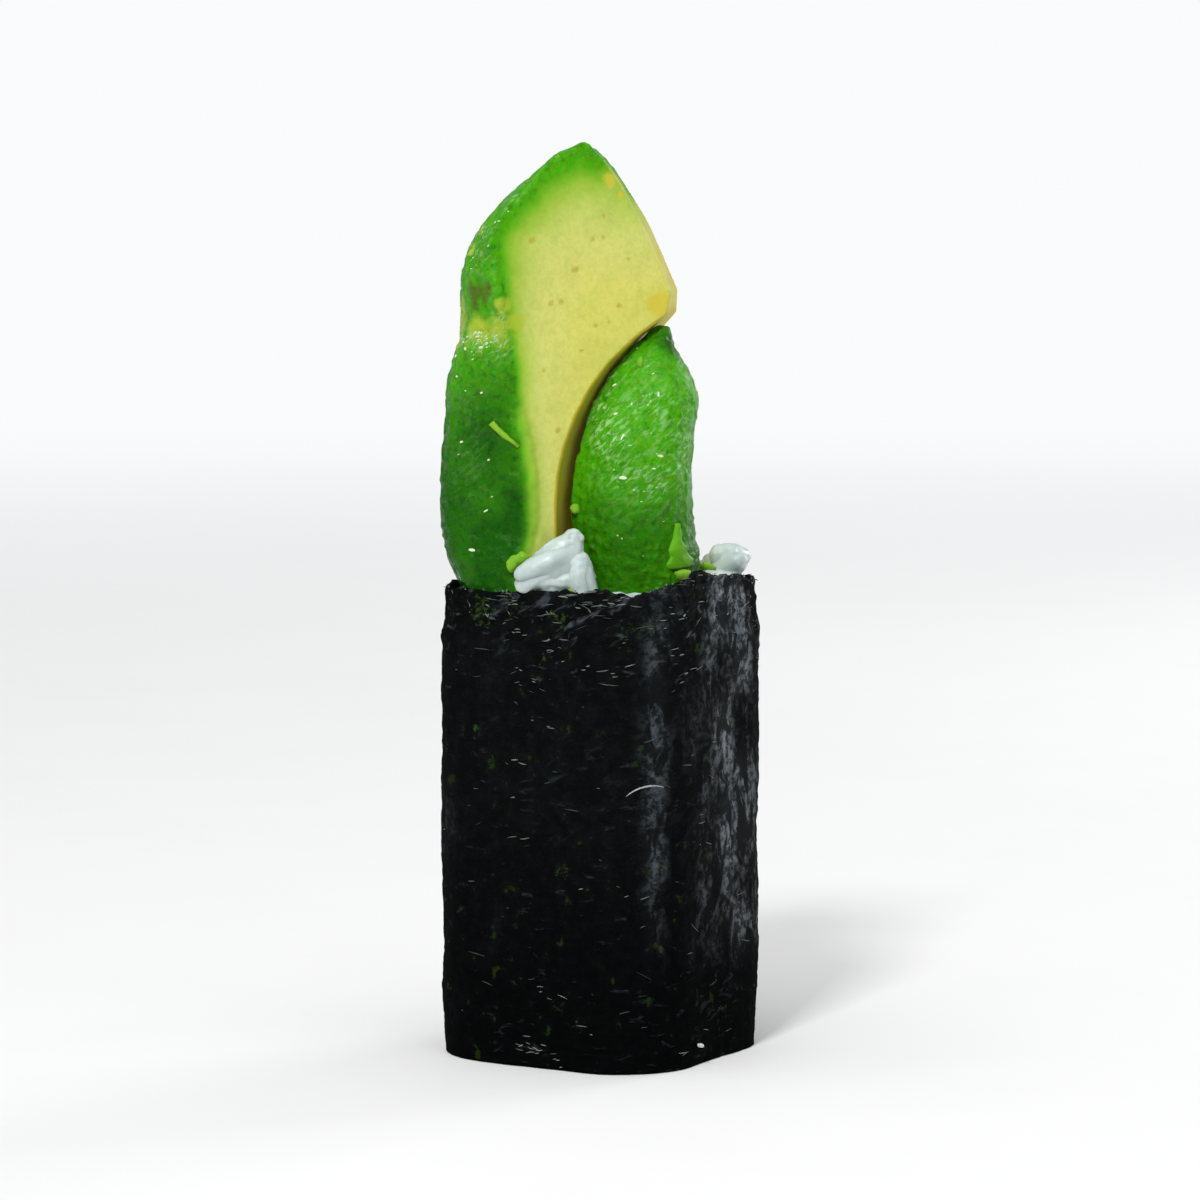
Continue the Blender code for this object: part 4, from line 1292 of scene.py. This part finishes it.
    def mark(self, mesh):
        """The long slice's dark patches, bare and golden patches, and specks."""
        places = places_of(mesh)
        solid = solid_tree("avocado_slice_long")
        kinds = ((DARK_MARK, DARK_MARKS), (BARE, BARE_PATCHES), (GOLD, GOLD_PATCHES), (SPECK, SPECKS))
        for name, marks in kinds:
            found = spots(places, marks, solid)
            if name == GOLD:
                skin = nearness(places, solid_tree("avocado_slice_long", self.long_skin), 3.0 * MM)
                to_right = smooth((normals_of(mesh)[:, 0] - 0.45) / 0.3) * (1 - skin)
                found = np.maximum(found, 0.38 * to_right * above(places[:, 2], 66, 6))
            keep_value(mesh, name, found)

    def beads(self, look):
        """Scatters small flattened beads of wet pulp over the peeled sides, whose pale colour is partly
        a painted highlight.
        """
        trees = [piece_tree(name) for name in ("avocado_long", "avocado_short")]
        points, faces = ball(2)
        draw = random.Random(65)
        shapes = Shapes()
        for which, x, height, wide, high, count in self.WET_PLACES:
            for _ in range(round(count * look.beads)):
                place, normal = from_front(
                    trees[which], draw.gauss(x, wide) * MM, draw.gauss(height, high) * MM
                )
                if place is None or normal.y > -0.08 or place.z < 48.5 * MM:
                    continue
                if which == 0 and place.x > -8 * MM:
                    continue
                size = (0.06 + 0.12 * draw.random() ** 2.5) * MM
                along = normal.cross(Vector((draw.uniform(-0.6, 0.2), 0.3, 1.0))).normalized()
                across = normal.cross(along)
                long, broad = size * draw.uniform(1.0, 2.4), size * draw.uniform(0.7, 1.1)
                a, b, c = along * long, across * broad, normal * size * 0.7
                shapes.add([place + a * p.x + b * p.y + c * p.z for p in points], faces)
        dressed(shapes.piece("avocado_beads"), bead_material(), "avocado")

    @staticmethod
    def long_skin(face):
        """Whether a face of the long slice is on its peeled side."""
        left = face.center.x < -5.5 * MM + 0.2 * max(face.center.z - 65 * MM, 0)
        return left and face.normal.x < 0.25 and face.normal.y < 0.9 and face.normal.z > -0.9

    @classmethod
    def cut_face(cls, face):
        """Whether a face of the long slice is on the cut that faces the front."""
        return face.normal.y < -0.8 and face.center.x > -11 * MM and not cls.long_skin(face)

    @staticmethod
    def pit_hollow(face):
        """Whether a face of the long slice is in the pit's hollow."""
        return face.normal.x > 0.6 and face.normal.z < 0.3 and face.center.x > -5 * MM

    @staticmethod
    def short_skin(face):
        """Whether a face of the short slice is on its peeled side."""
        return face.normal.y < -0.12 and face.normal.z > -0.9


# --- trimmings -------------------------------------------------------------------------------------


def lump(middle, radii, seed):
    """Points and faces of a small lump, a rounded and dented ball."""
    points, faces = ball(3)
    points = np.array(points)
    size = 1 + 0.28 * waves(points, 1.0, seed) + 0.2 * waves(points, 0.5, seed + 1)
    middle = Vector(middle) * MM
    return [middle + Vector(point * scale * radii * MM) for point, scale in zip(points, size)], faces


def settled(middle, radius, trees):
    """The middle of a small lump, moved until the lump is pressed a little into the nearest surface."""
    found = [tree.find_nearest(middle) for tree in trees]
    place, normal, _, away = min(found, key=lambda hit: hit[3])
    wanted = 0.4 * radius
    if (middle - place).dot(normal) < wanted:
        return middle
    return place + (middle - place) * min(1.0, wanted / away)


def laid_strip(tree, line, thickness):
    """A flat strip laid on a surface seen from the front, as vertices and faces of its closed skin."""
    across = 9
    rows = []
    for k, (x, height, width) in enumerate(line):
        after, before = line[min(k + 1, len(line) - 1)], line[max(k - 1, 0)]
        side = Vector((-(after[1] - before[1]), after[0] - before[0])).normalized()
        width *= 1 + 0.16 * math.sin(2.4 * k + x)
        row = []
        for i in range(across):
            share = i / (across - 1) - 0.5
            px, pz = x + side.x * width * share, height + side.y * width * share
            place, normal = from_front(tree, px * MM, pz * MM)
            rise = thickness * math.cos(math.pi * share) ** 0.5 if abs(share) < 0.5 else 0.0
            row.append((place, normal, rise * MM))
        rows.append(row)
    upper = [p + n * (rise - 0.02 * MM) for row in rows for p, n, rise in row]
    lower = [p - n * 0.12 * MM for row in rows for p, n, _ in row]
    faces, half = [], len(upper)
    for k, i in itertools.product(range(len(rows) - 1), range(across - 1)):
        a = k * across + i
        quad = (a, a + 1, a + across + 1, a + across)
        faces += [quad, tuple(half + v for v in reversed(quad))]
    # The rim of the strip, along which its two sides are joined
    edge = [*range(across), *(k * across + across - 1 for k in range(1, len(rows)))]
    edge += [half - 1 - i for i in range(1, across)] + [k * across for k in range(len(rows) - 2, 0, -1)]
    faces += [(b, a, half + a, half + b) for a, b in zip(edge, edge[1:] + edge[:1])]
    return upper + lower, faces


class MAKI_OT_trimmings(bpy.types.Operator):
    """Adds the slivers, nubs and crumbs of avocado and rice that cling to the piece"""

    bl_idname = "maki.trimmings"
    bl_label = "Trimmings"

    # Across, depth and up, and three radii, in millimetres
    NUBS = (
        ((-2.75, -5.9, 54.5), (0.55, 0.5, 0.5)), ((-9.0, -9.4, 49.1), (0.65, 0.6, 0.6)),
        ((-8.4, -9.35, 49.6), (0.75, 0.6, 0.75)), ((-7.9, -9.3, 50.2), (0.75, 0.6, 0.65)),
        ((-4.6, -10.9, 46.9), (1.3, 0.4, 0.3)), ((-2.6, -11.5, 46.9), (0.7, 0.35, 0.35)),
        ((6.3, -9.9, 48.0), (0.5, 0.35, 0.35)), ((8.4, -7.2, 48.2), (1.0, 0.5, 0.5)),
        ((3.4, -4.9, 69.3), (0.3, 0.25, 0.55)), ((10.5, -1.0, 49.6), (0.85, 0.5, 0.55)),
        ((14.3, 3.0, 48.6), (0.5, 0.4, 0.35)),
    )
    CRUMBS = (
        ((9.8, -10.4, 2.0), (0.34, 0.25, 0.22)), ((13.4, 6.9, 0.5), (0.42, 0.36, 0.22)),
        ((-6.0, 13.4, 0.5), (0.4, 0.34, 0.2)),
    )
    # Across, up and width, in millimetres
    SLIVER = (
        (-10.7, 63.1, 0.6), (-10.1, 62.5, 0.65), (-9.4, 61.9, 0.55), (-8.7, 61.4, 0.45),
        (-8.0, 60.8, 0.3),
    )
    FLAP = (
        (7.45, 53.2, 0.35), (7.45, 52.4, 0.7), (7.4, 51.5, 1.1), (7.5, 50.7, 1.7), (7.65, 50.0, 2.2),
        (7.75, 49.4, 2.6), (7.8, 48.8, 2.6),
    )

    def execute(self, context):
        pale = avocado_material("Avocado trimmings")
        around = [piece_tree(name) for name in ("avocado_long", "avocado_short", "rice_grains")]
        nubs, crumbs = Shapes(), Shapes()
        for number, (middle, radii) in enumerate(self.NUBS):
            middle = settled(Vector(middle) * MM, min(radii) * MM, around) / MM
            nubs.add(*lump(middle, np.array(radii), 71 + 2 * number))
        self.finish(nubs.piece("avocado_nubs"), pale, "avocado", 0.12, 0.11 * MM)
        sliver, flap = Shapes(), Shapes()
        sliver.add(*laid_strip(around[0], self.SLIVER, 0.3))
        self.finish(sliver.piece("avocado_sliver"), pale, "avocado", 0.13)
        flap.add(*laid_strip(around[1], self.FLAP, 0.4))
        self.finish(flap.piece("avocado_flap"), pale, "avocado", 0.09, 0.1 * MM)
        for number, (middle, radii) in enumerate(self.CRUMBS):
            crumbs.add(*lump(middle, np.array(radii), 91 + 2 * number))
        self.finish(crumbs.piece("rice_crumbs"), bpy.data.materials["Cooked rice"], "rice", 0.0)
        return {"FINISHED"}

    @staticmethod
    def finish(piece, material, slot, depth, voxel=0.0):
        """Evens out a piece's mesh where a voxel is given, and gives it its colour and place."""
        if voxel:
            remeshed(piece, voxel, 2)
        count = len(piece.data.vertices)
        keep_value(piece.data, DEPTH, [depth] * count)
        keep_value(piece.data, SHADE, [0.1] * count)
        dressed(piece, material, slot)


# --- stage -----------------------------------------------------------------------------------------


def floor_material(colour):
    """A pale matt board, faintly uneven, which fades into the pale room far away."""
    material, tree, shader = new_material("Floor")
    tone = blotched(tree, colour, toned(colour, 0.96), 6.0, 0.6)
    feed(shader, Base_Color=tone, Roughness=0.6, Specular_IOR_Level=0.2)
    away = add(tree, "ShaderNodeVectorMath", {0: here(tree)}, operation="LENGTH").outputs["Value"]
    seen = add(tree, "ShaderNodeLightPath").outputs["Is Camera Ray"]
    share = times(tree, stretched(tree, away, 0.15, 1.0), seen)
    room = add(tree, "ShaderNodeEmission", {"Color": ROOM_COLOUR, "Strength": ROOM_SEEN}).outputs[0]
    blend = add(tree, "ShaderNodeMixShader", {0: share, 1: shader.outputs[0], 2: room}).outputs[0]
    feed(tree.nodes["Material Output"], Surface=blend)
    return material


def floor_disc(colour):
    """A wide round floor, just under the piece."""
    disc = bmesh.new()
    bmesh.ops.create_circle(disc, cap_ends=True, segments=96, radius=12.0)
    mesh = bpy.data.meshes.new("floor")
    disc.to_mesh(mesh)
    disc.free()
    mesh.materials.append(floor_material(colour))
    floor = in_scene("floor", mesh)
    floor.location.z = -0.03 * MM
    return floor


def studio_room(brightness):
    """A world that is dim for the light that it sheds, and as pale as the floor where it shows."""
    world = bpy.data.worlds.new("Studio")
    world.use_nodes = True
    tree = world.node_tree
    seen = add(tree, "ShaderNodeLightPath").outputs["Is Camera Ray"]
    strengths = {"Value": seen, "To Min": brightness, "To Max": ROOM_SEEN}
    strength = add(tree, "ShaderNodeMapRange", strengths).outputs[0]
    feed(tree.nodes["Background"], Strength=strength, Color=ROOM_COLOUR)
    return world


def turn_to(made, target):
    """Turns a lamp or a camera to look at a place."""
    made.rotation_euler = (target - made.location).to_track_quat("-Z", "Y").to_euler()


def softbox(name, place, size, power):
    """A square area light that looks at the middle of the piece."""
    light = bpy.data.lights.new(name, "AREA")
    light.shape, light.size, light.energy = "SQUARE", size, power
    lamp = in_scene(name, light)
    lamp.location = place
    turn_to(lamp, Vector((0.0, 0.0, 45 * MM)))
    return lamp


def ceiling(power):
    """Even, very soft light from above."""
    light = bpy.data.lights.new("Ceiling", "SUN")
    light.energy, light.angle = power, math.radians(75)
    lamp = in_scene("Ceiling", light)
    lamp.rotation_euler = (math.radians(14), math.radians(-6), 0.0)
    return lamp


class MAKI_OT_stage(bpy.types.Operator):
    """Makes the pale floor, the soft studio light and the camera"""

    bl_idname = "maki.stage"
    bl_label = "Stage"

    def execute(self, context):
        scene = context.scene
        look = scene.maki_stage
        floor = floor_disc(look.floor)
        scene.world = studio_room(look.room)
        lamps = [
            softbox("Key softbox", (-0.20, -0.62, 0.66), 0.14, look.key),
            softbox("Right softbox", (0.44, 0.40, 0.22), 0.25, 0.28 * look.key),
            ceiling(look.ceiling),
        ]
        camera = bpy.data.cameras.new("Camera")
        camera.lens, camera.sensor_width = look.lens, 36.0
        seat = in_scene("Camera", camera)
        seat.location = (0.0, -look.distance, look.height)
        low, high = SOLID_BOX
        turn_to(seat, (Vector(low) + Vector(high)) / 2)
        scene.camera = seat
        scene.view_settings.view_transform = "Standard"
        return {"FINISHED"}


class MAKI_PT_sidebar(bpy.types.Panel):
    """Lists the looks and the steps"""

    bl_idname = "MAKI_PT_sidebar"
    bl_label = "Avocado Maki"
    bl_space_type = "VIEW_3D"
    bl_region_type = "UI"
    bl_category = "Maki"

    def draw(self, context):
        for name in LOOKS:
            box = self.layout.box()
            box.label(text=name.replace("maki_", "").capitalize())
            look = getattr(context.scene, name)
            for key in look.bl_rna.properties.keys():
                if key not in ("rna_type", "name"):
                    box.prop(look, key)
        for operator in OPERATORS:
            self.layout.operator(operator.bl_idname)


LOOKS = {
    "maki_nori": NoriLook, "maki_rice": RiceLook, "maki_avocado": AvocadoLook, "maki_stage": StageLook
}
OPERATORS = (
    MAKI_OT_nori_sheet, MAKI_OT_nori_fibres, MAKI_OT_rice, MAKI_OT_avocado, MAKI_OT_trimmings,
    MAKI_OT_stage,
)
CLASSES = (*LOOKS.values(), *OPERATORS, MAKI_PT_sidebar)


def register():
    """Adds the looks, the operators and the panel to Blender."""
    for made in CLASSES:
        bpy.utils.register_class(made)
    for name, look in LOOKS.items():
        setattr(bpy.types.Scene, name, PointerProperty(type=look))


def unregister():
    """Takes them out again."""
    for name in LOOKS:
        delattr(bpy.types.Scene, name)
    for made in reversed(CLASSES):
        bpy.utils.unregister_class(made)


def main():
    """Adds the add-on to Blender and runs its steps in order."""
    register()
    for operator in OPERATORS:
        group, name = operator.bl_idname.split(".")
        getattr(getattr(bpy.ops, group), name)()


if __name__ == "__main__":
    main()
